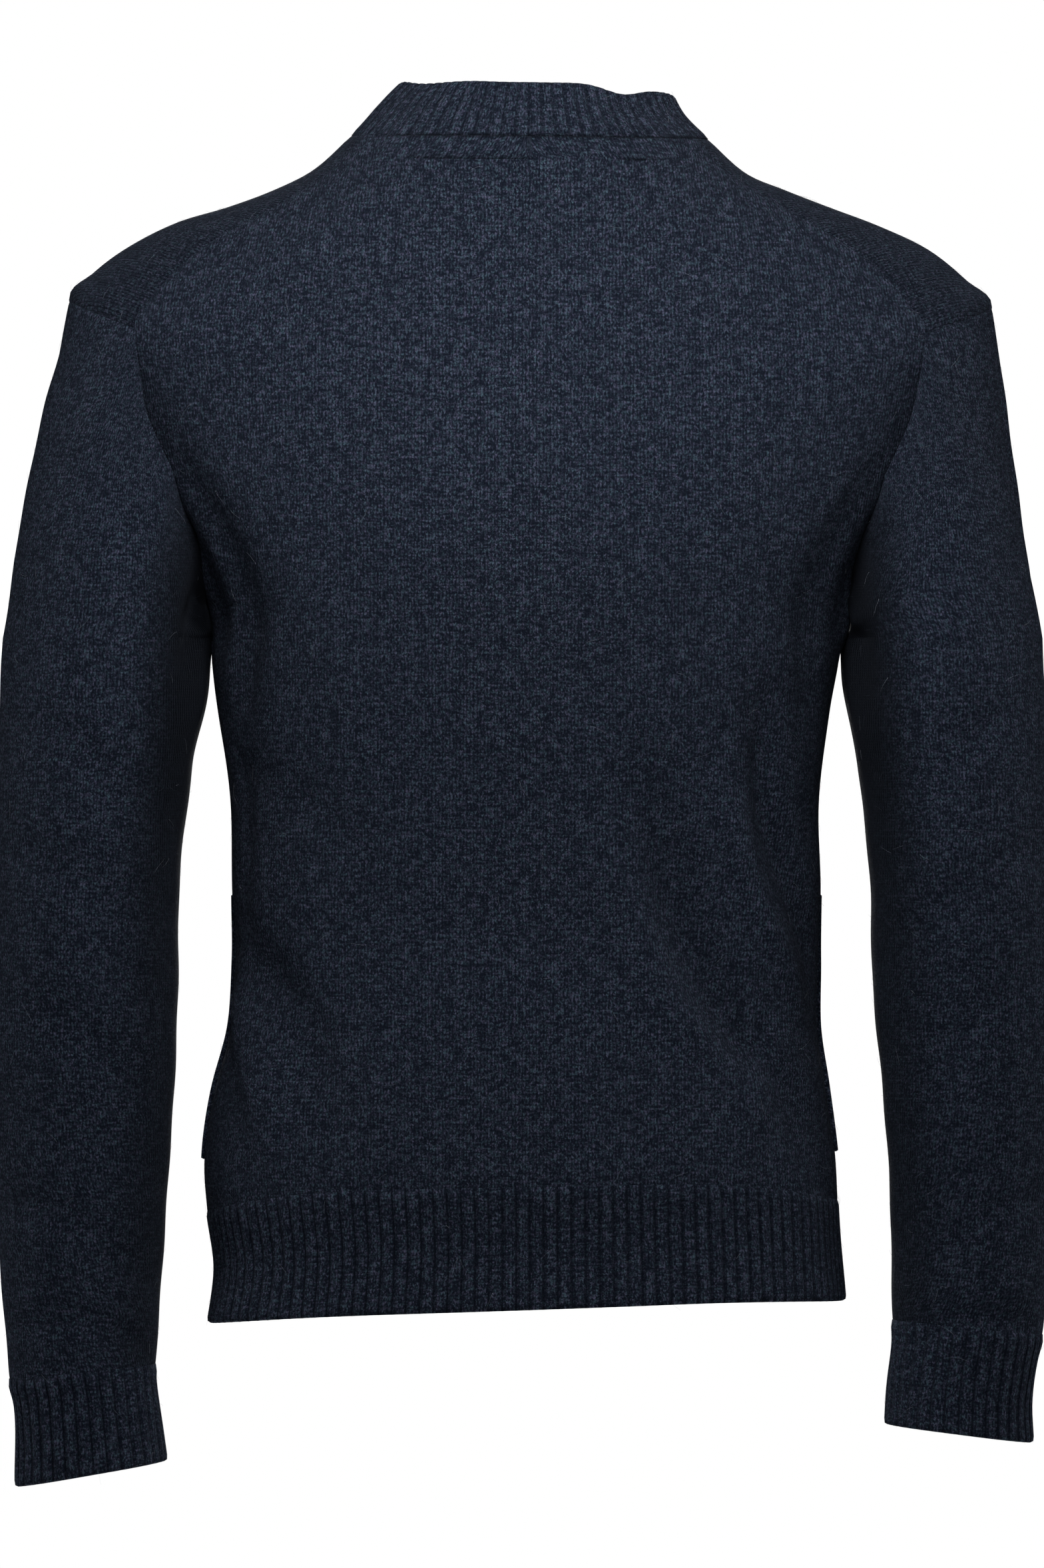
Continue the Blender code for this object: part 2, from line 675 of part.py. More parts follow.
def make_bands():
    """The buttonhole band on the wearer's left, closed over the button band on the right."""
    columns = BAND_RIBS * RIB_COLUMNS
    upper = band_grid(UPPER_BAND_OUT, columns)
    cloth_wall(
        "buttonhole_band",
        upper,
        WOOL_RIB,
        relief=lambda i, j: 0.0 if j % RIB_COLUMNS == 0 else RIB_RELIEF / 2,
        inner_step=RIB_COLUMNS,
    )
    cloth_wall("button_band", band_grid(-UNDER_BAND_IN, BAND_RIBS), WOOL_RIB, thick=CLOTH)
    return upper


def button_mesh():
    """One turned button with a raised rim, a dished middle and four thread holes."""
    profile = (
        (BUTTON_RADIUS - BUTTON_ROUND, 0.0),
        (BUTTON_RADIUS, BUTTON_ROUND),
        (BUTTON_RADIUS, BUTTON_HEIGHT - BUTTON_ROUND),
        (BUTTON_RADIUS - BUTTON_ROUND, BUTTON_HEIGHT),
        (BUTTON_RADIUS - BUTTON_RIM, BUTTON_HEIGHT),
        (BUTTON_RADIUS - BUTTON_RIM - BUTTON_DISH, BUTTON_HEIGHT - BUTTON_DISH),
    )
    mesh = bmesh.new()
    rings = []
    for radius, height in profile:
        turns = [2 * math.pi * k / BUTTON_SIDES for k in range(BUTTON_SIDES)]
        rings.append([mesh.verts.new((radius * math.cos(t), radius * math.sin(t), height)) for t in turns])
    for low, high in zip(rings, rings[1:]):
        for k in range(BUTTON_SIDES):
            n = (k + 1) % BUTTON_SIDES
            mesh.faces.new((low[k], low[n], high[n], high[k]))
    mesh.faces.new(reversed(rings[0]))
    mesh.faces.new(rings[-1])
    blank = bpy.data.objects.new("button_blank", bpy.data.meshes.new("button_blank"))
    mesh.to_mesh(blank.data)
    mesh.free()
    bpy.context.scene.collection.objects.link(blank)
    cutters = []
    for x in (-HOLE_OFFSET, HOLE_OFFSET):
        for y in (-HOLE_OFFSET, HOLE_OFFSET):
            bpy.ops.mesh.primitive_cylinder_add(
                vertices=HOLE_SIDES,
                radius=HOLE_RADIUS,
                depth=BUTTON_HEIGHT * 3,
                location=(x, y, 0),
            )
            cutter = bpy.context.object
            cut = blank.modifiers.new("thread_hole", "BOOLEAN")
            cut.operation, cut.solver, cut.object = "DIFFERENCE", "EXACT", cutter
            cutters.append(cutter)
    shown = blank.evaluated_get(bpy.context.evaluated_depsgraph_get())
    data = bpy.data.meshes.new_from_object(shown)
    data.name = "button"
    for spare in cutters + [blank]:
        bpy.data.objects.remove(spare)
    data.shade_smooth()
    data.set_sharp_from_angle(angle=math.radians(35))
    data.materials.append(material("button_horn", HORN, 0.35))
    return data


def make_buttons(upper):
    """Buttons down the middle of the upper band, each square to the cloth under it."""
    middle = [row[len(row) // 2] for row in upper]
    data = button_mesh()
    for number in range(BUTTON_COUNT):
        z = TOP_BUTTON_Z + (LOW_BUTTON_Z - TOP_BUTTON_Z) * number / (BUTTON_COUNT - 1)
        for (low, low_normal), (high, high_normal) in zip(middle, middle[1:]):
            if low.z <= z <= high.z:
                t = (z - low.z) / (high.z - low.z)
                point = low.lerp(high, t)
                normal = (high - low).cross(Vector((-1, 0, 0))).normalized()
                break
        button = bpy.data.objects.new(f"button_{number + 1}", data)
        button.rotation_mode = "QUATERNION"
        button.rotation_quaternion = normal.to_track_quat("Z", "Y")
        button.location = point + normal * (RIB_RELIEF / 2 + BUTTON_LIFT)
        bpy.context.scene.collection.objects.link(button)
        button.parent = GARMENT


# What lies on the panels


def read_grid(grid, row, column):
    """A (point, normal) pair at a place between a panel's rows and columns, on its straight faces."""
    i, j = min(int(row), len(grid) - 2), min(int(column), len(grid[0]) - 2)
    s, t = row - i, column - j
    corners = (grid[i][j], grid[i][j + 1], grid[i + 1][j], grid[i + 1][j + 1])
    weights = ((1 - s) * (1 - t), (1 - s) * t, s * (1 - t), s * t)
    point = sum((w * c[0] for w, c in zip(weights, corners)), Vector())
    normal = sum((w * c[1] for w, c in zip(weights, corners)), Vector()).normalized()
    return point, normal


def make_pocket(side, panel):
    """A patch pocket by the side seam, on the front panel's own points.

    It narrows towards its mouth, which stands off the panel a little.
    """
    rows = range(PANEL_ROWS.index(POCKET_LOW), PANEL_ROWS.index(POCKET_HIGH) + 1)
    grid = []
    for row in rows:
        climb = share(row, rows[0], rows[-1])
        line = []
        for column in POCKET_COLUMNS:
            middle = math.sin(math.pi * share(column, POCKET_COLUMNS[0], POCKET_COLUMNS[-1]))
            gape = POCKET_GAPE * middle * climb**3
            if column == POCKET_COLUMNS[-1]:
                column -= POCKET_NARROWING * climb
            line.append(moved(read_grid(panel, row, column), LIFT + CLOTH + gape))
        grid.append(line)
    if side == "right":
        grid = [mirrored(row) for row in grid]
    cloth_wall("pocket_" + side, grid, WOOL)


def make_neck_strip(back):
    """The flat strip that covers the neck seam on the outside of the back."""
    top = len(PANEL_ROWS) - 1
    step = (STRIP_END - STRIP_START) / STRIP_STEPS
    columns = [STRIP_START + step * k for k in range(STRIP_STEPS + 1)]
    grid = [[moved(read_grid(back, top - d, c), LIFT + STRIP_CLOTH) for c in columns] for d in STRIP_ROWS]
    cloth_wall("neck_strip", grid, WOOL, thick=STRIP_CLOTH)


for old in list(bpy.data.objects):
    bpy.data.objects.remove(old)

GARMENT = bpy.data.objects.new("cardigan", None)
bpy.context.scene.collection.objects.link(GARMENT)

back_grid, front_grids, sleeve_ends = make_panels()
make_hem(back_grid, front_grids)
make_neckband(back_grid, front_grids)
for wearer_side in ("left", "right"):
    make_cuff(wearer_side, sleeve_ends[wearer_side])
    make_pocket(wearer_side, front_grids[wearer_side])
make_buttons(make_bands())
make_neck_strip(back_grid)
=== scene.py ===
# %% [markdown]
# # A felted wool cardigan, seen from behind
#
# The garment is knitted in one fine yarn spun from dark navy wool with a few paler fibres in it. It is
# filled out as if somebody wore it. Every piece is a thin shell of cloth on the form of its solid, with
# softer folds than a solid can hold, real ribs at the edges, and a knit drawn by the material.

# %% Load the frame
import math

import bpy
import numpy as np
from mathutils import Matrix, Vector


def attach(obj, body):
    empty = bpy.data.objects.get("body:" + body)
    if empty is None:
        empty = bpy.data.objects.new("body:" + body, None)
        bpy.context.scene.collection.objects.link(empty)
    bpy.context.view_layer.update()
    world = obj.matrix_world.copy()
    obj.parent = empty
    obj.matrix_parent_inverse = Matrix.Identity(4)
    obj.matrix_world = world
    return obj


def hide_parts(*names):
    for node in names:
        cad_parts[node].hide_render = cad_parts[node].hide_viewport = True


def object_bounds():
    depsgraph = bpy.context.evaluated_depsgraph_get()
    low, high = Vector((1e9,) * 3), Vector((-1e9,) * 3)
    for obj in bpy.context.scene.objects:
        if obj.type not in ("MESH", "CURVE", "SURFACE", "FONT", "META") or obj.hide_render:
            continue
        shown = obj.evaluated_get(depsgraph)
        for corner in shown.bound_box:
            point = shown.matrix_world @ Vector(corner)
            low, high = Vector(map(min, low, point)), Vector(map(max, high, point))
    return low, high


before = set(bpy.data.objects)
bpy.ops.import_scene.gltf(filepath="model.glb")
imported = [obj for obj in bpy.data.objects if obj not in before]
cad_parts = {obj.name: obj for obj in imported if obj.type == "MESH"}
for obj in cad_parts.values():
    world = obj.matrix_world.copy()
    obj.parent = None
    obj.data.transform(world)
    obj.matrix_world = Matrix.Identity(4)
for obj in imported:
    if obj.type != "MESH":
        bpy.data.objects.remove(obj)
cad_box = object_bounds()
print("solids:", len(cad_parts), "box:", cad_box)

# %% Small helpers
SIDES = ("left", "right")
MIRROR = np.array([-1, 1])


def share(value, low, high):
    return np.clip((value - low) / (high - low), 0.0, 1.0)


def ease(value, low, high):
    t = share(value, low, high)
    return t * t * (3 - 2 * t)


def unit(vectors):
    return vectors / np.maximum(np.linalg.norm(vectors, axis=-1, keepdims=True), 1e-12)


def wrapped(grid):
    """A closed grid with its first column again at the end."""
    return np.concatenate([grid, grid[:, :1]], axis=1)


def placed(name, data):
    made = bpy.data.objects.new(name, data)
    bpy.context.scene.collection.objects.link(made)
    return made


# %% [markdown]
# ## The body as one surface
#
# A knitter shapes a body with rows. The surface here is made the same way: each row of the table is one
# loop round the body, from the hem up to the neck edge, and a smooth curve joins the rows. A place between
# two rows and an angle round the loop then give a point. The pieces are cut from this one surface, so they
# meet at their seams without any fitting.

# %% Rows of the body
ROW_COLUMNS = ("left", "right", "side_z", "back_y", "back_z", "front_y", "front_z", "corner", "tilt")
BODY_ROWS = (
    (0.1733, 0.1698, -0.620, 0.106, -0.617, -0.107, -0.613, 0.84, 0.006),
    (0.1693, 0.1678, -0.592, 0.103, -0.585, -0.105, -0.588, 0.84, 0.005),
    (0.1738, 0.1662, -0.563, 0.107, -0.552, -0.108, -0.563, 0.84, 0.003),
    (0.1750, 0.1645, -0.536, 0.105, -0.527, -0.109, -0.536, 0.84, 0.002),
    (0.1702, 0.1604, -0.500, 0.101, -0.494, -0.108, -0.500, 0.84, 0.001),
    (0.1610, 0.1551, -0.465, 0.096, -0.461, -0.107, -0.465, 0.84, 0.000),
    (0.1586, 0.1558, -0.430, 0.092, -0.428, -0.106, -0.430, 0.84, 0.000),
    (0.1600, 0.1568, -0.396, 0.092, -0.395, -0.108, -0.396, 0.84, 0.000),
    (0.1607, 0.1562, -0.350, 0.097, -0.350, -0.113, -0.350, 0.84, 0.000),
    (0.1675, 0.1612, -0.300, 0.106, -0.301, -0.120, -0.302, 0.84, 0.000),
    (0.1712, 0.1668, -0.270, 0.111, -0.272, -0.124, -0.273, 0.84, 0.000),
    (0.1740, 0.1710, -0.240, 0.116, -0.243, -0.127, -0.243, 0.85, 0.000),
    (0.1930, 0.1915, -0.199, 0.119, -0.206, -0.128, -0.223, 0.88, 0.000),
    (0.2130, 0.2125, -0.157, 0.118, -0.173, -0.126, -0.203, 0.92, -0.001),
    (0.2320, 0.2320, -0.116, 0.113, -0.141, -0.121, -0.181, 0.96, -0.001),
    (0.2490, 0.2500, -0.077, 0.106, -0.112, -0.115, -0.158, 1.00, -0.002),
    (0.2350, 0.2355, -0.061, 0.102, -0.098, -0.112, -0.147, 1.00, -0.002),
    (0.2150, 0.2150, -0.0455, 0.097, -0.082, -0.109, -0.137, 1.00, -0.001),
    (0.1900, 0.1890, -0.0330, 0.091, -0.0645, -0.105, -0.126, 1.00, -0.001),
    (0.1630, 0.1620, -0.0238, 0.084, -0.046, -0.100, -0.115, 1.00, 0.000),
    (0.1380, 0.1380, -0.0145, 0.077, -0.0275, -0.094, -0.103, 1.00, 0.000),
    (0.1160, 0.1165, -0.0042, 0.070, -0.0095, -0.087, -0.090, 1.00, -0.001),
    (0.0960, 0.0965, 0.0140, 0.062, 0.013, -0.079, -0.075, 1.00, -0.001),
    (0.0825, 0.0840, 0.0260, 0.055, 0.029, -0.071, -0.064, 1.00, -0.001),
    (0.0695, 0.0780, 0.0360, 0.050, 0.0430, -0.064, -0.052, 1.00, -0.001),
)
HEM_END, HEM_TOP, UNDERARM, TIP, NECK, NECK_TOP = 0, 2, 11, 15, 22, 24

# Seam angles round the body, in degrees: 0 is the wearer's side and 90 the middle of the back
ARMHOLE_BACK, ARMHOLE_FRONT, ARMHOLE_JOINT = 24.0, 27.0, 31.5
SEAM_AT_NECK = 20.0
BACK_RISE = 1.3
BAND_HALF = 0.016


def smooth_rows(columns, table, place):
    """Named values of a table at places between its rows, on a smooth curve through them."""
    table = np.asarray(table, float)
    last = len(table) - 1
    place = np.clip(np.asarray(place, float), 0.0, last)
    low = np.minimum(place.astype(int), last - 1)
    t = (place - low)[..., None]
    a, b, c, d = (table[np.clip(low + k, 0, last)] for k in (-1, 0, 1, 2))
    curve = 2 * b + (c - a) * t + (2 * a - 5 * b + 4 * c - d) * t**2 + (3 * b - a - 3 * c + d) * t**3
    return dict(zip(columns, np.moveaxis(0.5 * curve, -1, 0)))


# %% [markdown]
# ## Folds
#
# Felted wool is springy, so it bends in wide soft folds and never in sharp creases. A fold here is a line
# on the body from one point to another. Across the line it is a smooth bump or dip, and it dies away
# towards its ends. The long slanting ones on the right of the back are the most visible. A very shallow
# unevenness all over keeps the large quiet areas from looking moulded. The troughs are also painted
# darker, as painted shade.

# %% Fold tables: angle and height of both ends, width, and how far it stands out
FOLDS = {
    "left": (
        (10, -0.455, 42, -0.535, 0.013, 0.0048),
        (22, -0.430, 55, -0.508, 0.016, -0.0062),
        (30, -0.165, 24, -0.300, 0.017, -0.0060),
        (16, -0.185, 14, -0.260, 0.015, -0.0055),
        (48, -0.215, 58, -0.330, 0.020, 0.0022),
        (20, -0.330, 60, -0.372, 0.014, -0.0022),
        (14, -0.300, 18, -0.400, 0.012, -0.0020),
        (62, -0.100, 78, -0.150, 0.018, -0.0012),
        (-14, -0.190, -12, -0.290, 0.015, -0.0060),
        (-30, -0.190, -34, -0.360, 0.018, -0.0044),
        (-18, -0.400, -55, -0.450, 0.016, -0.0030),
        (-48, -0.300, -66, -0.420, 0.022, 0.0026),
        (-44, -0.120, -70, -0.230, 0.022, -0.0026),
    ),
    "right": (
        (74, -0.395, 54, -0.482, 0.011, 0.0046),
        (49, -0.350, 25, -0.445, 0.010, 0.0058),
        (68, -0.352, 33, -0.500, 0.017, -0.0088),
        (42, -0.298, 15, -0.425, 0.014, -0.0080),
        (30, -0.165, 24, -0.290, 0.017, -0.0040),
        (16, -0.185, 14, -0.230, 0.015, -0.0030),
        (5, -0.228, 3, -0.260, 0.013, 0.0052),
        (30, -0.470, 50, -0.535, 0.013, 0.0026),
        (66, -0.110, 80, -0.165, 0.018, -0.0012),
        (-14, -0.190, -12, -0.290, 0.015, -0.0060),
        (-30, -0.190, -34, -0.350, 0.018, -0.0044),
        (-20, -0.385, -58, -0.470, 0.016, -0.0030),
        (-50, -0.280, -62, -0.400, 0.020, 0.0026),
        (-42, -0.120, -68, -0.220, 0.022, -0.0026),
    ),
}
DEGREE = 0.0028
UNEVEN = 0.0005
FOLD_BEND = 0.1
FOLD_OVERRUN, FOLD_FADE = 0.35, 0.3
FOLD_FREE_ROWS = 1.5
# Painted shade in fold troughs: how fast it darkens with depth, and the least light it keeps
TROUGH_SHADE, TROUGH_DARKEST = 24.0, 0.6


def fold_line(x, z, start, end, width):
    """How near points lie to a fold's line, from 0 to 1, with soft ends."""
    (ax, az), (bx, bz) = start, end
    length = math.hypot(bx - ax, bz - az)
    along = ((x - ax) * (bx - ax) + (z - az) * (bz - az)) / length
    across = ((x - ax) * (bz - az) - (z - az) * (bx - ax)) / length
    bend = across + FOLD_BEND * length * np.sin(np.pi * share(along, 0, length))
    low, high = -FOLD_OVERRUN * length, FOLD_FADE * length
    return np.exp(-((bend / width) ** 2)) * (ease(along, low, high) * ease(length - along, low, high))


def folded(height, table, x, z, degree):
    """A height with every fold of a table added. One degree is so many metres along the surface."""
    for angle_a, z_a, angle_b, z_b, width, rise in table:
        start, end = (angle_a * degree, z_a), (angle_b * degree, z_b)
        height = height + rise * fold_line(x, z, start, end, width)
    return height


def fold_height(side, angle, z):
    x = angle * DEGREE
    uneven = UNEVEN * np.sin(x * 61 + z * 23) * np.sin(z * 57 - x * 31 + (1 if side == "left" else 2))
    return folded(uneven, FOLDS[side], x, z, DEGREE)


def painted_trough_shade(height):
    """Painted shade: a trough's colour is drawn darker the deeper it is."""
    return np.clip(1 + TROUGH_SHADE * np.minimum(height, 0.0), TROUGH_DARKEST, 1.0)


print("folds:", {side: len(rows) for side, rows in FOLDS.items()})


# %% A point of the body
# The upper edge of the neckband waves a little: side, angle, width in degrees, height
COLLAR_WAVES = (
    ("right", 50, 13, -0.0050),
    ("right", 14, 15, 0.0012),
    ("right", 84, 22, -0.0010),
    ("left", 84, 22, -0.0010),
    ("left", 10, 22, 0.0060),
)


def collar_wave(side, place, angle):
    total = 0.0
    for at, middle, width, height in COLLAR_WAVES:
        if at == side:
            total = total + height * np.exp(-(((angle - middle) / width) ** 2))
    return total * ease(place, NECK, NECK_TOP)


def body(side, place, angle):
    """Points of the body surface, from arrays of places and angles."""
    place, angle = np.broadcast_arrays(np.asarray(place, float), np.asarray(angle, float))
    row = smooth_rows(ROW_COLUMNS, BODY_ROWS, place)
    sign = 1 if side == "left" else -1
    turn = np.radians(angle)
    across = np.abs(np.cos(turn)) ** row["corner"]
    deep = np.abs(np.sin(turn)) ** row["corner"]
    behind = angle >= 0
    y = np.where(behind, row["back_y"], row["front_y"]) * deep
    rise = np.where(behind, np.sin(np.radians(np.minimum(90, BACK_RISE * angle))), np.sin(turn)) ** 2
    z = row["side_z"] + (np.where(behind, row["back_z"], row["front_z"]) - row["side_z"]) * rise
    z = z - row["tilt"] * across * sign + collar_wave(side, place, angle)
    out = fold_height(side, angle, z) * ease(NECK - place, 0.0, FOLD_FREE_ROWS)
    x = row[side] * across + out * np.cos(turn)
    return np.stack([sign * x, y + out * np.sin(turn), z], axis=-1)


def back_edge(place):
    """Angle of the back panel's edge: side seam, then armhole, then the seam behind the shoulder."""
    climb = share(place, UNDERARM, TIP)
    armhole = ARMHOLE_BACK * np.sqrt(share(climb, 0, 0.45))
    armhole = armhole + (ARMHOLE_JOINT - ARMHOLE_BACK) * ease(climb, 0.6, 1.0)
    shoulder = ARMHOLE_JOINT + (SEAM_AT_NECK - ARMHOLE_JOINT) * share(place, TIP, NECK)
    return np.where(place >= TIP, shoulder, armhole)


def front_edge(place):
    """Angle of a front panel's edge below the shoulder tip: side seam, then armhole."""
    climb = share(place, UNDERARM, TIP)
    edge = ARMHOLE_FRONT * np.sqrt(share(climb, 0, 0.35)) * np.cos(np.pi / 2 * share(climb, 0.5, 1.0))
    return np.where(climb >= 1, 0.0, -edge)


def opening_angle(side, place):
    """The angle at which a row meets the edge of the button band."""
    row = smooth_rows(ROW_COLUMNS, BODY_ROWS, place)
    return float(-np.degrees(np.arccos((BAND_HALF / row[side]) ** (1 / row["corner"]))))


# %% [markdown]
# ## Sleeves
#
# A sleeve starts as an oval round the upper arm and narrows to the wrist. Its head is harder: the oval has
# to turn into the armhole, which is cut into the body. Each lengthwise line of the sleeve follows a curve
# from the oval to its own point of the armhole, so the two edges agree all the way round.

# %% Sections of the sleeves
SECTION_COLUMNS = ("z", "x", "half_x", "y", "half_y", "tilt")
SLEEVE_SECTIONS = {
    "left": (
        (-0.257, 0.2293, 0.0540, 0.000, 0.0590, 0.000),
        (-0.293, 0.2323, 0.0540, 0.000, 0.0585, 0.000),
        (-0.329, 0.2352, 0.0530, -0.001, 0.0575, 0.000),
        (-0.387, 0.2400, 0.0510, -0.004, 0.0550, 0.000),
        (-0.445, 0.2415, 0.0513, -0.009, 0.0530, 0.000),
        (-0.502, 0.2420, 0.0500, -0.015, 0.0500, 0.001),
        (-0.560, 0.2427, 0.0467, -0.021, 0.0465, 0.002),
        (-0.617, 0.2427, 0.0425, -0.027, 0.0430, 0.003),
        (-0.654, 0.2420, 0.0395, -0.031, 0.0395, 0.004),
        (-0.668, 0.2403, 0.0381, -0.032, 0.0375, 0.005),
        (-0.690, 0.2385, 0.0390, -0.034, 0.0375, 0.006),
        (-0.709, 0.2372, 0.0406, -0.036, 0.0385, 0.007),
    ),
    "right": (
        (-0.257, 0.2240, 0.0518, 0.000, 0.0590, 0.000),
        (-0.293, 0.2268, 0.0525, 0.000, 0.0585, 0.000),
        (-0.329, 0.2297, 0.0520, -0.001, 0.0575, 0.000),
        (-0.387, 0.2345, 0.0505, -0.004, 0.0550, 0.000),
        (-0.445, 0.2365, 0.0505, -0.009, 0.0530, 0.000),
        (-0.502, 0.2390, 0.0480, -0.015, 0.0500, 0.001),
        (-0.556, 0.2400, 0.0450, -0.021, 0.0465, 0.002),
        (-0.598, 0.2393, 0.0430, -0.025, 0.0430, 0.003),
        (-0.630, 0.2375, 0.0405, -0.029, 0.0400, 0.004),
        (-0.645, 0.2357, 0.0388, -0.030, 0.0378, 0.004),
        (-0.668, 0.2330, 0.0385, -0.032, 0.0372, 0.005),
        (-0.687, 0.2325, 0.0397, -0.034, 0.0382, 0.005),
    ),
}
CUFF_TOP, CUFF_END = 8, 11
CAP_BULGE = 0.75

# Folds down and round the sleeves: angle and height of both ends, width, and how far it stands out
SLEEVE_FOLDS = (
    (148, -0.165, 150, -0.270, 0.012, -0.0060),
    (178, -0.225, 182, -0.300, 0.028, 0.0045),
    (-4, -0.110, 4, -0.260, 0.040, 0.0030),
    (212, -0.180, 210, -0.260, 0.012, -0.0030),
    (60, -0.300, 105, -0.345, 0.010, -0.0026),
    (30, -0.370, 110, -0.405, 0.011, -0.0022),
    (120, -0.150, 70, -0.270, 0.014, 0.0020),
    (55, -0.450, 120, -0.500, 0.012, -0.0022),
    (20, -0.560, 115, -0.590, 0.009, -0.0020),
    (40, -0.628, 140, -0.640, 0.008, -0.0026),
    (240, -0.395, 330, -0.412, 0.010, -0.0040),
    (230, -0.440, 320, -0.430, 0.011, -0.0036),
    (250, -0.620, 340, -0.635, 0.009, -0.0030),
    (210, -0.270, 290, -0.330, 0.013, -0.0030),
)
ARM_DEGREE = 0.0009


def sleeve_fold_height(side, angle, z):
    phase = 0.4 if side == "left" else 2.1
    uneven = UNEVEN * np.sin(np.radians(angle) * 3 + z * 47 + phase) * np.sin(z * 83 + phase)
    return folded(uneven, SLEEVE_FOLDS, np.mod(angle, 360) * ARM_DEGREE, z, ARM_DEGREE)


def sleeve(side, place, angle):
    """Points of a sleeve below its head. Angle 0 is its outer side and 90 its back."""
    place, angle = np.broadcast_arrays(np.asarray(place, float), np.asarray(angle, float))
    section = smooth_rows(SECTION_COLUMNS, SLEEVE_SECTIONS[side], place)
    turn = np.radians(angle)
    z = section["z"] - section["tilt"] * np.cos(turn)
    out = sleeve_fold_height(side, angle, z)
    x = section["x"] + (section["half_x"] + out) * np.cos(turn)
    y = section["y"] + (section["half_y"] + out) * np.sin(turn)
    return np.stack([x if side == "left" else -x, y, z], axis=-1)


# %% [markdown]
# ## Laying out points
#
# Along each row the points are evenly spaced, except next to a seam, where a few stand close together.
# They carry the little roll that a sewn edge has. Working in lengths, and not in angles, also gives the
# true position in the knit: how far a point is from the middle, in metres, tells which column of stitches
# it lies on.

# %% Helpers for rows of points
NEAR = np.array([0.0, 0.0008, 0.0017, 0.0030, 0.0048])
FREE = np.array([0.0])
NEAR_ROWS = np.array([0.0, 0.25, 0.6])
CLOSE_ROWS = 0.04
FINE_STEPS = 240


def run_of(points):
    steps = np.linalg.norm(np.diff(points, axis=0), axis=1)
    return np.concatenate([[0.0], np.cumsum(steps)])


def spaced(side, place, start, stop, near_start, near_stop, count):
    """Angles across one row, evenly spaced between the close ones at its ends, and their distances."""
    fine = np.linspace(start, stop, FINE_STEPS)
    run = run_of(body(side, place, fine))
    last = run[-1] - near_stop[::-1]
    middle = np.linspace(near_start[-1], last[0], count + 1)
    marks = np.concatenate([near_start[:-1], middle, last[1:]])
    return np.interp(marks, run, fine), marks


def part_of_row(side, place, start, stop, shares):
    """Angles at given shares of a row's length, and their distances."""
    fine = np.linspace(start, stop, FINE_STEPS)
    run = run_of(body(side, place, fine))
    return np.interp(shares * run[-1], run, fine), shares * run[-1]


def normals_of(points, closed):
    """Outward normals of a grid whose rows climb and whose columns turn anticlockwise seen from above."""
    if closed:
        along = np.roll(points, -1, axis=1) - np.roll(points, 1, axis=1)
    else:
        along = np.gradient(points, axis=1)
    return unit(np.cross(along, np.gradient(points, axis=0)))


def rows_between(start, stop, count):
    """Places from start to stop, with three close rows at each end."""
    middle = np.linspace(start + CLOSE_ROWS * 1.2, stop - CLOSE_ROWS * 1.2, count)
    return np.concatenate([start + NEAR_ROWS * CLOSE_ROWS, middle, stop - NEAR_ROWS[::-1] * CLOSE_ROWS])


# %% [markdown]
# ## From a grid to cloth
#
# A shell has an outer face, an inner face two millimetres behind it, and a rounded rim that joins them.
# Every corner gets three sets of texture coordinates: `knit`, in metres along and across the stitches,
# `shade`, whose first number is painted shade, how much the colour there is darkened, and `OFBake`,
# which lays the whole shell out flat in a square without overlaps.

# %% The shell builder
CLOTH = 0.0022
RIM_ROUND = 0.3
SEAM_DEPTH = 0.0003
SEAM_ROLL = 0.0017
FELTED_LOW, FELTED_HIGH = (-0.770, -0.730), (0.087, 0.103)
FELTED = 0.2
BATCH = 2000
RIM_STEP = 0.002
outer_faces = []


def quads_of(index, keep):
    quads = np.stack([index[:-1, :-1], index[:-1, 1:], index[1:, 1:], index[1:, :-1]], axis=-1)
    return quads[keep] if keep is not None else quads.reshape(-1, 4)


def border_of(quads):
    """Directed edges that only one quad has."""
    pairs = np.concatenate([np.stack([quads[:, k], quads[:, (k + 1) % 4]], 1) for k in range(4)])
    size = quads.max() + 1
    forward = pairs[:, 0] * size + pairs[:, 1]
    backward = pairs[:, 1] * size + pairs[:, 0]
    return pairs[~np.isin(forward, backward)]


def rim_directions(points, normals, border):
    """At each border point, the way out of the cloth along its own plane."""
    out = np.zeros_like(points)
    away = unit(np.cross(points[border[:, 1]] - points[border[:, 0]], normals[border[:, 0]]))
    np.add.at(out, border[:, 0], away)
    np.add.at(out, border[:, 1], away)
    return unit(out)


def seam_dip(points, border):
    """A sewn edge rolls inwards. The armhole and side seams are felted until they nearly vanish."""
    edge = points[np.unique(border)]
    distance = np.empty(len(points))
    for start in range(0, len(points), BATCH):
        part = points[start : start + BATCH]
        distance[start : start + BATCH] = np.sqrt(((part[:, None] - edge[None]) ** 2).sum(-1)).min(1)
    felted = ease(points[:, 2], *FELTED_LOW) * ease(-points[:, 2], *FELTED_HIGH)
    return -SEAM_DEPTH * (1 - (1 - FELTED) * felted) * np.exp(-((distance / SEAM_ROLL) ** 2))


def bake_places(rows, columns):
    """Places in the flat layout. The outer face gets three times the width of the inner one."""
    across, up = np.meshgrid(np.linspace(0, 1, columns), np.linspace(0, 1, rows))
    return [
        np.stack([start + width * across, 0.01 + 0.97 * up], -1).reshape(-1, 2)
        for start, width in ((0.01, 0.73), (0.76, 0.23))
    ]


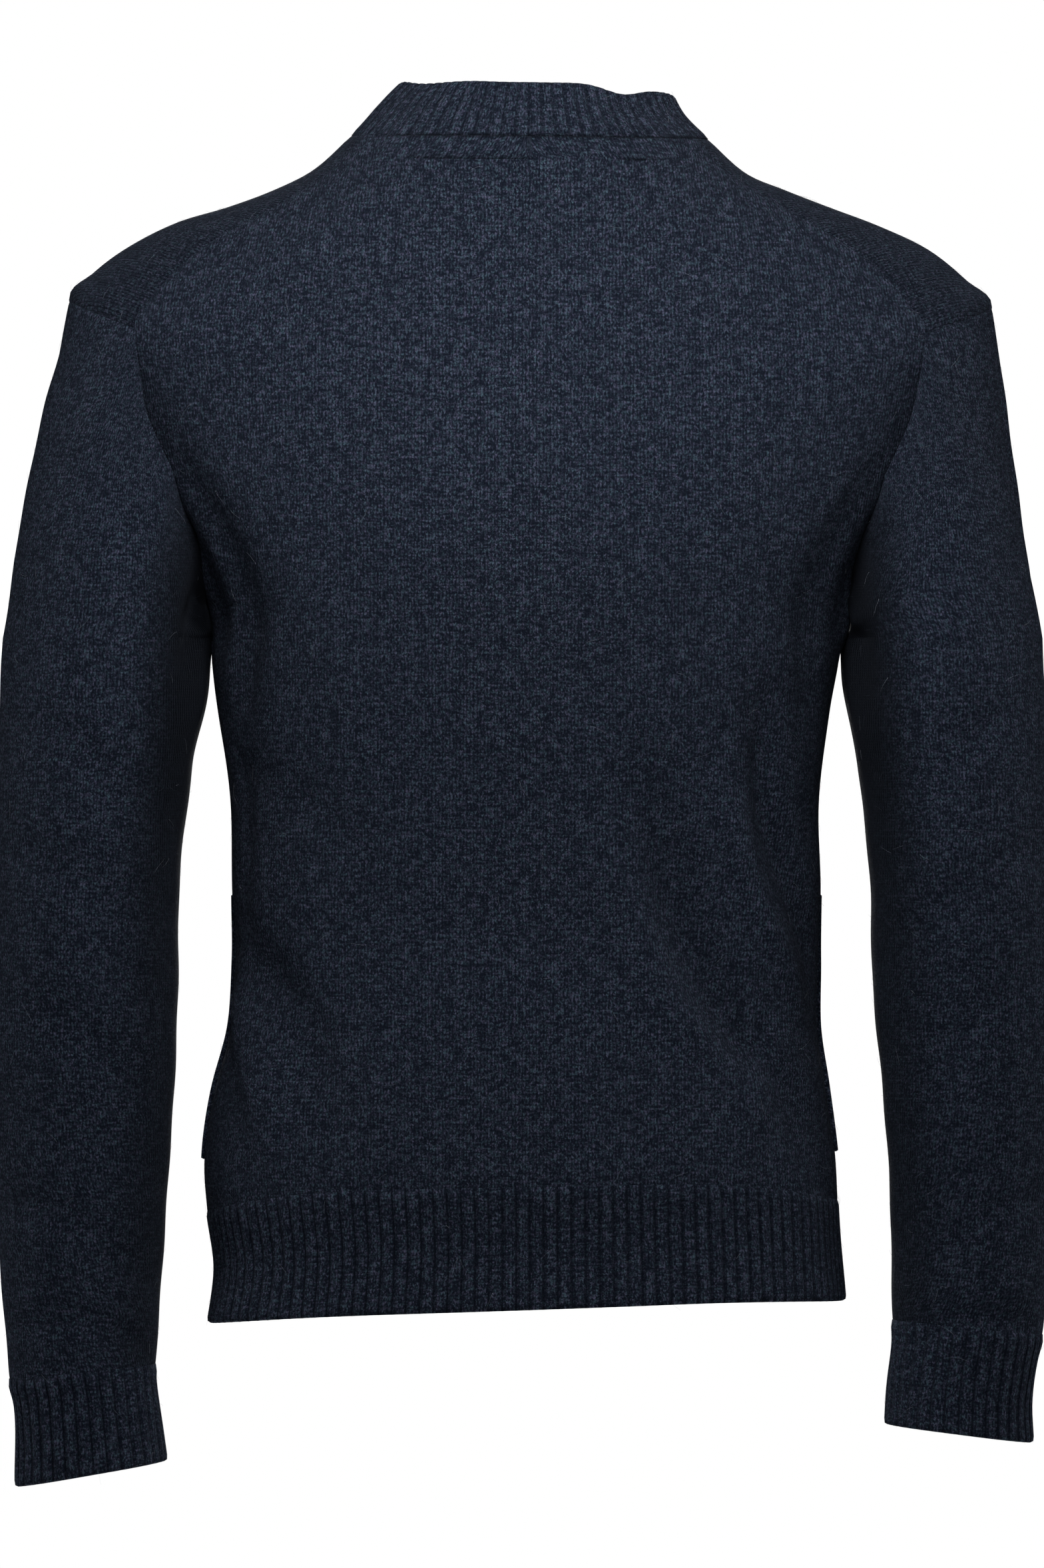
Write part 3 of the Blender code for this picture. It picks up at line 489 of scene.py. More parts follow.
def shell(
    name, points, knit, finish, relief=None, closed=False, keep=None, seams=True, thick=CLOTH, shade=None
):
    """Cloth with an outer and an inner face, from a grid of points and their place in the knit."""
    relief = np.zeros(points.shape[:2]) if relief is None else relief
    shade = np.ones(points.shape[:2]) if shade is None else shade
    normals = normals_of(points, closed)
    if closed:
        points, normals, relief, shade = (wrapped(grid) for grid in (points, normals, relief, shade))
    rows, columns = points.shape[:2]
    flat, normal = points.reshape(-1, 3), normals.reshape(-1, 3)
    index = np.arange(rows * columns).reshape(rows, columns)
    quads = quads_of(index, keep)
    if closed:
        index[:, -1] = index[:, 0]
    border = border_of(index.reshape(-1)[quads])
    lift = relief.reshape(-1) + (seam_dip(flat, border) if seams else 0.0)
    outer, inner = flat + normal * lift[:, None], flat - normal * thick
    middle = (outer + inner) / 2 + rim_directions(flat, normal, border) * thick * RIM_ROUND
    knit = np.concatenate([knit.reshape(-1, 2), shade.reshape(-1, 1)], axis=1)
    mesh = cloth_mesh(name, (outer, inner, middle), quads, border, knit, (rows, columns), closed)
    mesh.materials.append(finish)
    outer_faces.append((outer[quads], normal[quads]))
    return placed(name, mesh)


def cloth_mesh(name, layers, quads, border, knit, size, closed):
    """The shell's mesh. In a closed shell the last column is the first one again, apart from its knit."""
    count = len(layers[0])
    outer_bake, inner_bake = bake_places(*size)
    a, b = border[:, 0], border[:, 1]
    faces = [quads, quads[:, ::-1] + count]
    knits = [knit[quads], knit[quads[:, ::-1]]]
    bakes = [outer_bake[quads], inner_bake[quads[:, ::-1]]]
    for near, far, step in ((0, 2, 0.0), (2, 1, RIM_STEP)):
        faces.append(np.stack([b + near * count, a + near * count, a + far * count, b + far * count], 1))
        knits.append(np.stack([knit[b], knit[a], knit[a], knit[b]], 1) + np.array([step, step, 0]))
        corner = np.stack([outer_bake[b], outer_bake[a], outer_bake[a], outer_bake[b]], 1)
        bakes.append(corner + np.array([0, 0, 1, 1])[None, :, None] * RIM_STEP + step)
    faces = np.concatenate(faces)
    if closed:
        same = np.arange(3 * count).reshape(3, *size)
        same[:, :, -1] = same[:, :, 0]
        faces = same.reshape(-1)[faces]
    used, faces = np.unique(faces, return_inverse=True)
    mesh = bpy.data.meshes.new(name)
    mesh.from_pydata(np.concatenate(layers)[used].tolist(), [], faces.reshape(-1, 4).tolist())
    knits = np.concatenate(knits)
    shades = np.repeat(knits[..., 2:], 2, axis=-1)
    for label, values in (("knit", knits[..., :2]), ("shade", shades), ("OFBake", np.concatenate(bakes))):
        layer = mesh.uv_layers.new(name=label)
        layer.data.foreach_set("uv", values.reshape(-1).astype(np.float32))
    mesh.shade_smooth()
    return mesh


# %% [markdown]
# ## Shader arithmetic
#
# A knit is a repeat, so its drawing is arithmetic on two numbers, the distances across and along the
# stitches. Blender does arithmetic with Math nodes. The small class below wraps a socket, so that a
# formula can be written as one, and each operator adds the node it stands for.


# %% The socket class
def operator(name):
    """A method that adds one Math node."""
    return lambda self, *others: self.math(name, *others)


class Wire:
    """A value in a material's node tree."""

    __add__ = __radd__ = operator("ADD")
    __mul__ = __rmul__ = operator("MULTIPLY")
    __sub__ = operator("SUBTRACT")
    __truediv__ = operator("DIVIDE")
    __pow__ = operator("POWER")

    def __init__(self, tree, socket):
        self.tree = tree
        self.socket = socket

    def node(self, kind, settings=None, sockets=None, output=0):
        """Adds a node of any kind: its settings first, then the values or links of its sockets."""
        made = self.tree.nodes.new(kind)
        for name, value in (settings or {}).items():
            setattr(made, name, value)
        for name, value in (sockets or {}).items():
            if isinstance(value, Wire):
                self.tree.links.new(value.socket, made.inputs[name])
            else:
                made.inputs[name].default_value = value
        return Wire(self.tree, made.outputs[output])

    def math(self, operation, *values):
        return self.node("ShaderNodeMath", {"operation": operation}, dict(enumerate((self,) + values)))

    def arch(self):
        """A sine wave's upper half, as this value goes from 0 to 1."""
        return (self * math.pi).math("SINE")

    def part(self, number):
        return self.node("ShaderNodeSeparateXYZ", {}, {0: self}, number)

    def noise(self, scale, detail=2.0, distortion=0.0):
        sockets = {"Vector": self, "Scale": scale, "Detail": detail, "Distortion": distortion}
        return self.node("ShaderNodeTexNoise", {}, sockets)

    def blend(self, low, high):
        """From one colour to another as this value goes from 0 to 1."""
        settings = {"data_type": "RGBA", "clamp_factor": True}
        return self.node("ShaderNodeMix", settings, {0: self, 6: low, 7: high}, output=2)

    def feed(self, shader, name):
        self.tree.links.new(self.socket, shader.inputs[name])


def new_material(name):
    """An empty material: its surface shader and a wire to start from."""
    made = bpy.data.materials.new(name)
    made.use_nodes = True
    tree = made.node_tree
    return made, tree.nodes["Principled BSDF"], Wire(tree, None)


# %% [markdown]
# ## Wool
#
# Plain knit shows columns of little Vs. Each V has two legs, and a leg is a short fat piece of yarn that
# leans outwards as it climbs. Two saw-tooth waves place the legs, and sine waves round them. The yarn is
# spun from dyed fibres of several blues, so the colour changes in three sizes: single fibres, single
# stitches, and cloudy patches where more pale fibres were spun in. The pale fibres themselves go from
# violet to teal. The gaps between stitches, and the grooves between ribs, are painted darker as painted
# shade, because little light gets out of them. The `shade` coordinates paint more shade over that.
# Felting raised a nap, which a trace of sheen stands for.

# %% The knit
WALE = 0.00187
COURSE = 0.00142
LEG_LEAN = 0.85
WOBBLE_ACROSS, WOBBLE_ALONG = 0.0007, 0.0008
RIB_PITCH = 0.0075
# Painted shade colours: the darkest, where the `shade` coordinates say so, and the one in the stitch gaps
NAVY_PAINTED_SHADE = (0.0004, 0.0006, 0.0011, 1)
NAVY_GAP_SHADE = (0.0022, 0.0030, 0.0058, 1)
NAVY = (0.0040, 0.0056, 0.0105, 1)
PALE_VIOLET = (0.0520, 0.0530, 0.0880, 1)
PALE_TEAL = (0.0360, 0.0590, 0.0780, 1)
WOOL_SETTINGS = {
    "Roughness": 0.95,
    "Specular IOR Level": 0.02,
    "Sheen Weight": 0.02,
    "Sheen Roughness": 0.55,
    "Sheen Tint": (0.62, 0.72, 0.95, 1),
}


def knit_drawing(wire):
    """The height of the stitches, a number for each stitch, and the knit's own coordinates."""
    place = wire.node("ShaderNodeUVMap", {"uv_map": "knit"})
    wobble = place.noise(260.0, 1.0) - 0.5
    columns = (place.part(0) + wobble * WOBBLE_ACROSS) / WALE
    leg = ((columns.math("FRACT") - 0.5) * 2).math("ABSOLUTE")
    rows = (place.part(1) + wobble * WOBBLE_ALONG) / COURSE - leg * LEG_LEAN
    rise = rows.math("FRACT").arch() ** 0.3
    round_leg = (leg * 0.70 + 0.28).arch() ** 0.85
    spot = wire.node("ShaderNodeCombineXYZ", {}, {0: (columns * 2).math("FLOOR"), 1: rows.math("FLOOR")})
    stitch = wire.node("ShaderNodeTexWhiteNoise", {"noise_dimensions": "3D"}, {"Vector": spot})
    return rise * round_leg, stitch, place


def wool_finish(name, groove_shade=0.0):
    made, surface, wire = new_material(name)
    height, stitch, place = knit_drawing(wire)
    along_yarn = place.node("ShaderNodeMapping", {}, {"Vector": place, "Scale": (0.28, 1.0, 1.0)})
    fibre, fleck, streak = place.noise(2300.0), place.noise(850.0), along_yarn.noise(620.0)
    cloud = place.noise(130.0, 3.0)
    patchy = (fleck - 0.5) * 2.2 + (streak - 0.5) * 1.5 + (cloud - 0.5) * 0.7
    tone = (patchy + (fibre - 0.5) * 1.5 + (stitch - 0.5) * 0.62 + 0.41).math("MAXIMUM", 0.0) ** 1.8
    shade = wire.node("ShaderNodeUVMap", {"uv_map": "shade"}).part(0)
    lit = height * 0.8 + 0.2
    # Painted shade in the grooves between ribs
    if groove_shade:
        crest = (place.part(0) / RIB_PITCH).math("FRACT").arch()
        lit = lit * (crest ** 0.7 * (0.44 + groove_shade) + (1 - groove_shade))
    dye = ((place.noise(420.0, 1.0) - 0.5) * 4.0 + 0.5).math("MINIMUM", 1.0).math("MAXIMUM", 0.0)
    marl = tone.blend(NAVY, dye.blend(PALE_VIOLET, PALE_TEAL))
    # Painted shade: the stitch gaps, then the `shade` coordinates, darken the colour
    shade.blend(NAVY_PAINTED_SHADE, lit.blend(NAVY_GAP_SHADE, marl)).feed(surface, "Base Color")
    relief = height * 0.75 + place.noise(1500.0, 3.0) * 0.45 + cloud * 0.25
    bump = wire.node("ShaderNodeBump", {}, {"Strength": 0.75, "Distance": 0.0008, "Height": relief})
    bump.feed(surface, "Normal")
    for socket, value in WOOL_SETTINGS.items():
        surface.inputs[socket].default_value = value
    return made


wool = wool_finish("navy_marl_knit")
# The ribbed finishes have painted shade in the grooves between ribs
wool_ribbed = wool_finish("navy_marl_rib", groove_shade=0.96)
wool_neck = wool_finish("navy_marl_neckband", groove_shade=0.80)
print("wool materials:", wool.name, wool_ribbed.name, wool_neck.name)

# %% [markdown]
# ## Horn buttons and thread
#
# The buttons close the front, which the picture doesn't show. Dark polished horn with a slightly uneven
# gloss suits the navy, and the thread that holds them is plain and a little lighter than the wool.

# %% Button and thread finishes
OBJECT_PLACE = 3


def horn_finish():
    made, surface, wire = new_material("dark_horn")
    place = wire.node("ShaderNodeTexCoord", output=OBJECT_PLACE)
    grain, streak = place.noise(260.0, 4.0), place.noise(90.0, distortion=1.4)
    colour = (grain * 0.5 + streak * 0.5).blend((0.006, 0.005, 0.005, 1), (0.042, 0.032, 0.026, 1))
    colour.feed(surface, "Base Color")
    (streak * 0.25 + 0.32).feed(surface, "Roughness")
    return made


def spun_finish(name, low, high, scale):
    """Thread or loose hair: two tones of one colour, finely mixed."""
    made, surface, wire = new_material(name)
    place = wire.node("ShaderNodeTexCoord", output=OBJECT_PLACE)
    place.noise(scale).blend(low, high).feed(surface, "Base Color")
    surface.inputs["Roughness"].default_value = 0.8
    return made


horn = horn_finish()
thread = spun_finish("navy_thread", (0.012, 0.015, 0.026, 1), (0.06, 0.07, 0.10, 1), 3200.0)
print("small finishes:", horn.name, thread.name)

# %% [markdown]
# ## Panels
#
# The back reaches from side seam to side seam, round the armholes, and up to a seam that lies well behind
# the shoulder. The fronts run over the shoulder to meet it there. Their columns of stitches come over the
# shoulder with them, which is why the knit looks slanted on that strip. The strip is also painted darker,
# as painted shade. To get that slant, the strip is unfolded about the top of the shoulder, as it would lie
# on the knitter's table.


def note_cut(points, keep=None):
    """Fills in a panel's kept cells when none are given, and does nothing more with them."""
    keep = np.ones((len(points) - 1, points.shape[1] - 1), bool) if keep is None else keep


# %% The back
BACK_COLUMNS = 46


def across_back(place, columns_of):
    """One row over the whole back: its points, their place in the knit, and the painted shade in its
    troughs.
    """
    halves = []
    for side in SIDES:
        angles, marks = columns_of(side, place)
        points = body(side, place, angles)
        across = (marks - marks[-1]) * (1 if side == "left" else -1)
        halves.append((points, across, painted_trough_shade(fold_height(side, angles, points[:, 2]))))
    row, across, light = (np.concatenate([left, right[::-1][1:]]) for left, right in zip(*halves))
    return row, np.stack([across, row[:, 2]], -1), light


def back_columns(side, place):
    return spaced(side, place, back_edge(place), 90.0, NEAR, FREE, BACK_COLUMNS)


def make_back():
    places = np.concatenate([rows_between(HEM_TOP, TIP, 96), rows_between(TIP, NECK, 42)[1:]])
    points, knit, shade = map(np.array, zip(*(across_back(place, back_columns) for place in places)))
    note_cut(points)
    return shell("back_panel", points, knit, wool, shade=shade)


back = make_back()

# %% The fronts
FRONT_COLUMNS = 42
SHOULDER_COLUMNS = 12
# Painted shade on the strip behind the shoulder: the share of light it keeps
STRIP_SHADE = 0.72


def unfolded(strip, ridge_knit):
    """The strip behind the shoulder, turned flat about the ridge so that it goes on from the front."""
    ridge = strip[:, 0]
    along = unit(ridge[0] - ridge[-1])
    behind = (strip[:, -1] - ridge).mean(0)
    behind = unit(behind - along * (behind @ along))
    flat_along = unit(ridge_knit[0] - ridge_knit[-1])
    flat_beyond = np.array([-flat_along[1], flat_along[0]])
    places = strip - ridge.mean(0)
    out = (places @ behind)[..., None] * flat_beyond * np.sign(flat_beyond[1])
    return ridge_knit.mean(0) + (places @ along)[..., None] * flat_along + out


def front_panel(side):
    """Rows of a front from the button band to the side, and above the tip on over the shoulder."""
    lower = rows_between(HEM_TOP, TIP, 92)
    tip_row = len(lower) - 1
    points, knit = [], []
    for place in np.concatenate([lower[:-1], rows_between(TIP, NECK, 40)]):
        start, stop = opening_angle(side, place), float(front_edge(place))
        angles, mark = spaced(side, place, start, stop, NEAR, NEAR, FRONT_COLUMNS)
        over = max(place, TIP)
        extra, _ = spaced(side, over, 0.0, float(back_edge(over)), FREE, NEAR, SHOULDER_COLUMNS)
        row = body(side, place, angles)
        points.append(np.concatenate([row, body(side, over, extra)[1:]]))
        knit.append(np.stack([mark, row[:, 2]], -1))
    points, knit = np.array(points), np.array(knit)
    last = knit.shape[1] - 1
    beyond = points.shape[1] - last - 1
    knit = np.concatenate([knit, np.repeat(knit[:, -1:], beyond, axis=1)], axis=1)
    knit[tip_row:, last:] = unfolded(points[tip_row:, last:], knit[tip_row:, last])
    return points, knit, tip_row


def make_front(side):
    points, knit, tip_row = front_panel(side)
    rows, columns = points.shape[:2]
    ridge = columns - SHOULDER_COLUMNS - len(NEAR)
    keep = np.ones((rows - 1, columns - 1), bool)
    keep[:tip_row, ridge:] = False
    # Painted shade on the strip behind the shoulder
    shade = np.interp(np.arange(columns), (ridge, ridge + 2), (1.0, STRIP_SHADE))
    shade = np.repeat(shade[None], rows, axis=0)
    if side == "right":
        points, knit, keep, shade = (grid[:, ::-1] for grid in (points, knit * MIRROR, keep, shade))
    name = f"front_{side}_panel"
    note_cut(points, keep)
    return shell(name, points, knit, wool, keep=keep, shade=shade)


fronts = {side: make_front(side) for side in SIDES}

# %% The sleeves
ARMHOLE_STEPS = 54
TOP_STEPS = 12
CAP_ROWS, ARM_ROWS = 30, 96
CAP_NEAR_SEAM = (0.93, 0.965, 0.988, 1.0)
CAP_FREE = 0.9
ARM_START = 0.02

# Painted shade on the side towards the body: height, and share of light lost
SHADE_ROWS = (
    (-0.70, 0.55),
    (-0.48, 0.45),
    (-0.40, 0.66),
    (-0.33, 0.92),
    (-0.18, 1.00),
    (-0.145, 0.50),
    (-0.12, 0.0),
)
SHADE_STARTS, SHADE_FULL = 98.0, 146.0


def armhole(side):
    """The armhole seam: from the underarm up the front, over the shoulder, and down the back."""
    climb = np.linspace(UNDERARM, TIP, ARMHOLE_STEPS)
    over = np.linspace(0.0, ARMHOLE_JOINT, TOP_STEPS)[1:]
    down = climb[::-1][1:-1]
    return np.concatenate([
        body(side, climb, front_edge(climb)), body(side, TIP, over), body(side, down, back_edge(down))
    ])


def sleeve_grid(side):
    seam = armhole(side)
    run = run_of(np.concatenate([seam, seam[:1]]))
    angles = 180 + 360 * run[:-1] / run[-1]
    places = rows_between(ARM_START, CUFF_TOP, ARM_ROWS)[::-1]
    arm = sleeve(side, places[:, None], angles[None])
    t = np.concatenate([np.linspace(0, CAP_FREE, CAP_ROWS), CAP_NEAR_SEAM])[:, None, None]
    start = sleeve(side, 0.0, angles)
    above = np.stack([start[:, 0], start[:, 1], (start[:, 2] + seam[:, 2]) / 2], -1)
    bulge = (CAP_BULGE * np.abs(np.sin(np.radians(angles))))[:, None]
    bend = (start + seam) / 2 * (1 - bulge) + above * bulge
    cap = start * (1 - t) ** 2 + bend * 2 * t * (1 - t) + seam * t * t
    fade = ease(t, 0.0, 0.35) * ease(1 - t, 0.0, 0.3)
    cap = cap + normals_of(cap, True) * fade * sleeve_fold_height(side, angles[None, :, None], cap[..., 2:])
    return np.concatenate([arm, cap]), angles


def sleeve_knit(points, angles):
    """Stitches run straight down the outside of the arm, and new ones begin at the underarm."""
    closed = wrapped(points)
    steps = np.linalg.norm(np.diff(closed, axis=1), axis=-1)
    across = np.concatenate([np.zeros((len(points), 1)), np.cumsum(steps, axis=1)], axis=1)
    outside = int(np.argmin(np.abs(angles - 360)))
    return np.stack([across - across[:, outside : outside + 1], closed[..., 2]], -1)


def painted_sleeve_shade(z, angles):
    """Painted shade on the side of the sleeve that lies against the body, where light hardly gets in."""
    heights, lost = np.array(SHADE_ROWS).T
    inwards = 180.0 - np.abs(np.mod(angles, 360.0) - 180.0)
    return 1 - np.interp(z, heights, lost) * ease(inwards, SHADE_STARTS, SHADE_FULL)[None]


def make_sleeve(side):
    points, angles = sleeve_grid(side)
    if side == "right":
        points, angles = points[:, ::-1], (720 - angles)[::-1]
    name = f"sleeve_{side}_panel"
    note_cut(wrapped(points))
    # Painted shade on the side towards the body and in the troughs of the folds
    shade = painted_sleeve_shade(points[..., 2], angles)
    shade = shade * painted_trough_shade(sleeve_fold_height(side, angles[None], points[..., 2]))
    return shell(name, points, sleeve_knit(points, angles), wool, closed=True, shade=shade)


sleeves = {side: make_sleeve(side) for side in SIDES}

# %% [markdown]
# ## Ribs
#
# Two stitches forward and two stitches back make the elastic edges. The forward pairs stand up as rounded
# ridges and the others sink between them. Eight columns of points shape each ridge. At the seam with the
# plain knit the ribs fade out over a few millimetres. The seam of the neckband shows as a thin dark line of
# painted shade, which fades towards the picture's left.

# %% Ribbed strips round the body
RIB_COLUMNS = 8
RIB_RELIEF, NECK_RELIEF, BAND_RELIEF = 0.0011, 0.0007, 0.0008
RIB_ROUND = 0.55
RIB_AT_SEAM = 0.25
RIB_FADE = 0.004
RING_STEPS = 400
EDGE_TUCK = 0.0004
HEM_ROWS, NECK_ROWS, CUFF_ROWS = 18, 14, 16
# Painted shade along the neckband's seam: rows near it, their light, and where it fades out
SEAM_LINE_SHARES = (0.0, 0.02, 0.045, 0.08)
SEAM_LINE_SHADE = (0.25, 0.55, 0.92, 1.0)
SEAM_FADE_FROM, SEAM_FADE_TO, SEAM_FADED = 0.064, 0.078, 0.85


def rib_crest(columns):
    return np.sin(np.pi * np.mod(np.arange(columns) / RIB_COLUMNS, 1.0)) ** RIB_ROUND


def rib_relief(columns, rows_up, most=RIB_RELIEF):
    """Height of the ribs: columns across, and fading near the seam at rows_up equal to 0."""
    fade = RIB_AT_SEAM + (1 - RIB_AT_SEAM) * ease(rows_up, 0.0, RIB_FADE)
    return most * rib_crest(columns)[None] * fade[:, None]


def rib_knit(columns, length):
    across = np.arange(columns) / RIB_COLUMNS * RIB_PITCH
    return np.stack(np.broadcast_arrays(across[None], length[:, None]), -1)


def ring_points(base, place, sides, angles):
    """A row at another place that follows the base row's columns, keeping clear of the front bands."""
    shown = np.empty((len(angles), 3))
    for side, chosen in (("left", sides), ("right", ~sides)):
        ratio = opening_angle(side, place) / opening_angle(side, base)
        turned = np.where(angles < 0, angles * ratio, angles)
        shown[chosen] = body(side, float(place), turned)[chosen]
    return shown


def ring_columns(base, spans):
    """Columns of a ribbed strip, from spans of one row: their sides, angles and number of ribs."""
    sides = np.concatenate([np.full(RING_STEPS, side == "left") for side, _, _ in spans])
    angles = np.concatenate([np.linspace(start, stop, RING_STEPS) for _, start, stop in spans])
    run = run_of(ring_points(base, base, sides, angles))
    ribs = max(1, round(run[-1] / RIB_PITCH))
    marks = np.linspace(0, run[-1], ribs * RIB_COLUMNS + 1)
    nearest = sides[np.clip(np.searchsorted(run, marks), 0, len(run) - 1)]
    wound = np.interp(marks, run, np.where(sides, angles, 180 - angles))
    return nearest, np.where(nearest, wound, 180 - wound), ribs


def seam_shade(grid, shares):
    """Painted shade along the neckband's seam: a thin dark line, as light for each point."""
    shade = np.repeat(np.interp(shares, SEAM_LINE_SHARES, SEAM_LINE_SHADE)[:, None], grid.shape[1], axis=1)
    faded = ease(grid[..., 0], SEAM_FADE_FROM, SEAM_FADE_TO) * (grid[..., 1] > 0)
    return shade + (1 - shade) * SEAM_FADED * faded


def ribbed_ring(name, base, end, spans, rows, finish=wool_ribbed, most=RIB_RELIEF, seam_line=False):
    sides, angles, ribs = ring_columns(base, spans)
    shares = np.linspace(0, 1, rows)
    if seam_line:
        shares = np.concatenate([SEAM_LINE_SHARES, shares[2:]])
    grid = np.array([ring_points(base, base + (end - base) * up, sides, angles) for up in shares])
    shade = seam_shade(grid, shares) if seam_line else None
    columns = grid.shape[1]
    length = run_of(grid[:, columns // 2])
    knit = rib_knit(columns, length)
    relief = rib_relief(columns, length, most)
    relief[-1] -= EDGE_TUCK
    if end < base:
        grid, knit, relief = grid[::-1], knit[::-1] * -MIRROR, relief[::-1]
    print(name, "has", ribs, "ribs")
    note_cut(grid)
    return shell(name, grid, knit, finish, relief=relief, seams=False, shade=shade)


def make_hem(name, *spans):
    return ribbed_ring(name, HEM_TOP, HEM_END, spans, HEM_ROWS)


hem_back = make_hem("hem_back_rib", ("left", 0.0, 90.0), ("right", 90.0, 0.0))
hem_left = make_hem("hem_front_left_rib", ("left", opening_angle("left", HEM_TOP), 0.0))
hem_right = make_hem("hem_front_right_rib", ("right", 0.0, opening_angle("right", HEM_TOP)))
neck_spans = [("left", opening_angle("left", NECK), 90.0), ("right", 90.0, opening_angle("right", NECK))]
neckband = ribbed_ring(
    "neckband_rib", NECK, NECK_TOP, neck_spans, NECK_ROWS, wool_neck, NECK_RELIEF, seam_line=True
)


# %% The cuffs
def make_cuff(side):
    fine = np.linspace(180, 540, 721)
    run = run_of(sleeve(side, float(CUFF_TOP), fine))
    ribs = round(run[-1] / RIB_PITCH)
    marks = np.linspace(0, run[-1], ribs * RIB_COLUMNS + 1)[:-1]
    angles = np.interp(marks, run, fine)
    places = np.linspace(CUFF_END, CUFF_TOP, CUFF_ROWS)
    grid = sleeve(side, places[:, None], angles[None])
    length = run_of(grid[::-1, 0])[::-1]
    relief = rib_relief(grid.shape[1], length)
    relief[0] -= EDGE_TUCK
    knit = rib_knit(grid.shape[1] + 1, -length)
    if side == "right":
        grid, relief = grid[:, ::-1], relief[:, ::-1]
    name = f"cuff_{side}_rib"
    print(name, "has", ribs, "ribs")
    note_cut(wrapped(grid))
    return shell(name, grid, knit, wool_ribbed, relief=relief, closed=True, seams=False)


cuffs = {side: make_cuff(side) for side in SIDES}

# %% [markdown]
# ## The front opening
#
# Two bands of rib run up the front. The buttonhole band lies over the button band, with the buttons
# through it. The bands are flat across, and follow the chest up and down.

# %% Bands
BAND_RIBS = 4
BAND_ROWS = 190
BAND_GAP = 0.0002
UPPER_BAND_OUT = 0.0020
UNDER_BAND_IN = 0.0007


def band_grid(offset, columns):
    """Points of a band that stands out from the front's middle line, and the normals of that line."""
    edge = np.array([
        sum(body(side, place, opening_angle(side, place)) for side in SIDES) / 2
        for place in np.linspace(HEM_END, NECK_TOP, BAND_ROWS)
    ])
    edge[:, 0] = 0.0
    normal = unit(np.cross(np.array([1.0, 0.0, 0.0]), np.gradient(edge, axis=0)))
    middle = edge + normal * offset
    across = np.linspace(-BAND_HALF + BAND_GAP, BAND_HALF - BAND_GAP, columns + 1)
    grid = np.repeat(middle[:, None], columns + 1, axis=1)
    grid[..., 0] = across[None]
    knit = np.stack(np.broadcast_arrays(across[None], run_of(middle)[:, None]), -1)
    return grid, knit, normal


def make_band(name, offset):
    columns = BAND_RIBS * RIB_COLUMNS
    grid, knit, _ = band_grid(offset, columns)
    relief = np.repeat(rib_crest(columns + 1)[None] * BAND_RELIEF, len(grid), axis=0)
    note_cut(grid)
    knit = knit * np.array([RIB_PITCH * BAND_RIBS / (2 * BAND_HALF), 1]) + np.array([2 * RIB_PITCH, 0])
    return shell(name, grid, knit, wool_ribbed, relief=relief, seams=False)


buttonhole_band = make_band("buttonhole_band_rib", UPPER_BAND_OUT)
button_band = make_band("button_band_rib", -UNDER_BAND_IN)

# %% [markdown]
# ## Pockets and the neck strip
#
# Patch pockets sit low on the fronts, close to the side seams, so their edges just show from behind. The
# neck seam is covered by a narrow strip of knit on the outside. Its stitches lean away from the middle on
# both sides, so it is drawn with the knit sheared, and the shear changes sign in the middle of the back.
# Its lower edge stands loose in two places, with a thin shadow under it, and its loose lower rows are
# painted darker as painted shade. A thin dark line of painted shade runs along its top, at the neck seam.

# %% Pieces that lie on a panel
POCKET_LOW, POCKET_HIGH = 3, 7
POCKET_START, POCKET_END = 0.40, 0.98
POCKET_SLANT, POCKET_SLANT_FROM = 0.06, 0.8
POCKET_GAPE = 0.004
POCKET_ROWS, POCKET_COLUMNS = 34, 30
LIFT = 0.0004
STRIP_DROPS = np.concatenate([np.linspace(0.56, 0.12, 9), [0.085, 0.05, 0.02]])
STRIP_LIFT = 0.0006
STRIP_HEM = 0.3
STRIP_START = 0.22
STRIP_COLUMNS = 60
STRIP_CLOTH = 0.0011
STRIP_LEAN = 0.55
STRIP_LOOSE = ((0.07, 0.54), (0.74, 0.95))
# Where the lower edge is loose: its soft ends, its lift, the sink elsewhere, and the painted shade along it
LOOSE_ENDS, LOOSE_LIFT, TIGHT_SINK, LOOSE_SHADE = 0.08, 1.1, 0.35, 0.6
# Painted shade along the strip's top at the neck seam: drops below the neck, and share of light lost
SEAM_DROPS, SEAM_PAINTED_SHADE = (0.02, 0.05, 0.10), (0.72, 0.36, 0.0)


def make_pocket(side):
    shares = np.linspace(POCKET_START, POCKET_END, POCKET_COLUMNS)
    grid, knit = [], []
    for place in np.linspace(POCKET_LOW, POCKET_HIGH, POCKET_ROWS):
        slant = share(place, POCKET_LOW, POCKET_HIGH) * share(shares, POCKET_SLANT_FROM, POCKET_END)
        start, stop = opening_angle(side, place), float(front_edge(place))
        angles, marks = part_of_row(side, place, start, stop, shares - POCKET_SLANT * slant)
        grid.append(body(side, place, angles))
        knit.append(np.stack([marks, grid[-1][:, 2]], -1))
    grid, knit = np.array(grid), np.array(knit)
    if side == "right":
        grid, knit = grid[:, ::-1], knit[:, ::-1] * MIRROR
    climb = np.linspace(0, 1, len(grid))[:, None]
    middle = np.sin(np.pi * np.linspace(0, 1, grid.shape[1]))[None]
    away = LIFT + CLOTH + POCKET_GAPE * middle * climb**3
    grid = grid + normals_of(grid, False) * away[..., None]
    name = f"pocket_{side}_patch"
    note_cut(grid)
    return shell(name, grid, knit, wool, seams=False)


def strip_columns(side, place):
    shares = np.linspace(STRIP_START, 1.0, STRIP_COLUMNS)
    return part_of_row(side, place, float(back_edge(place)), 90.0, shares)


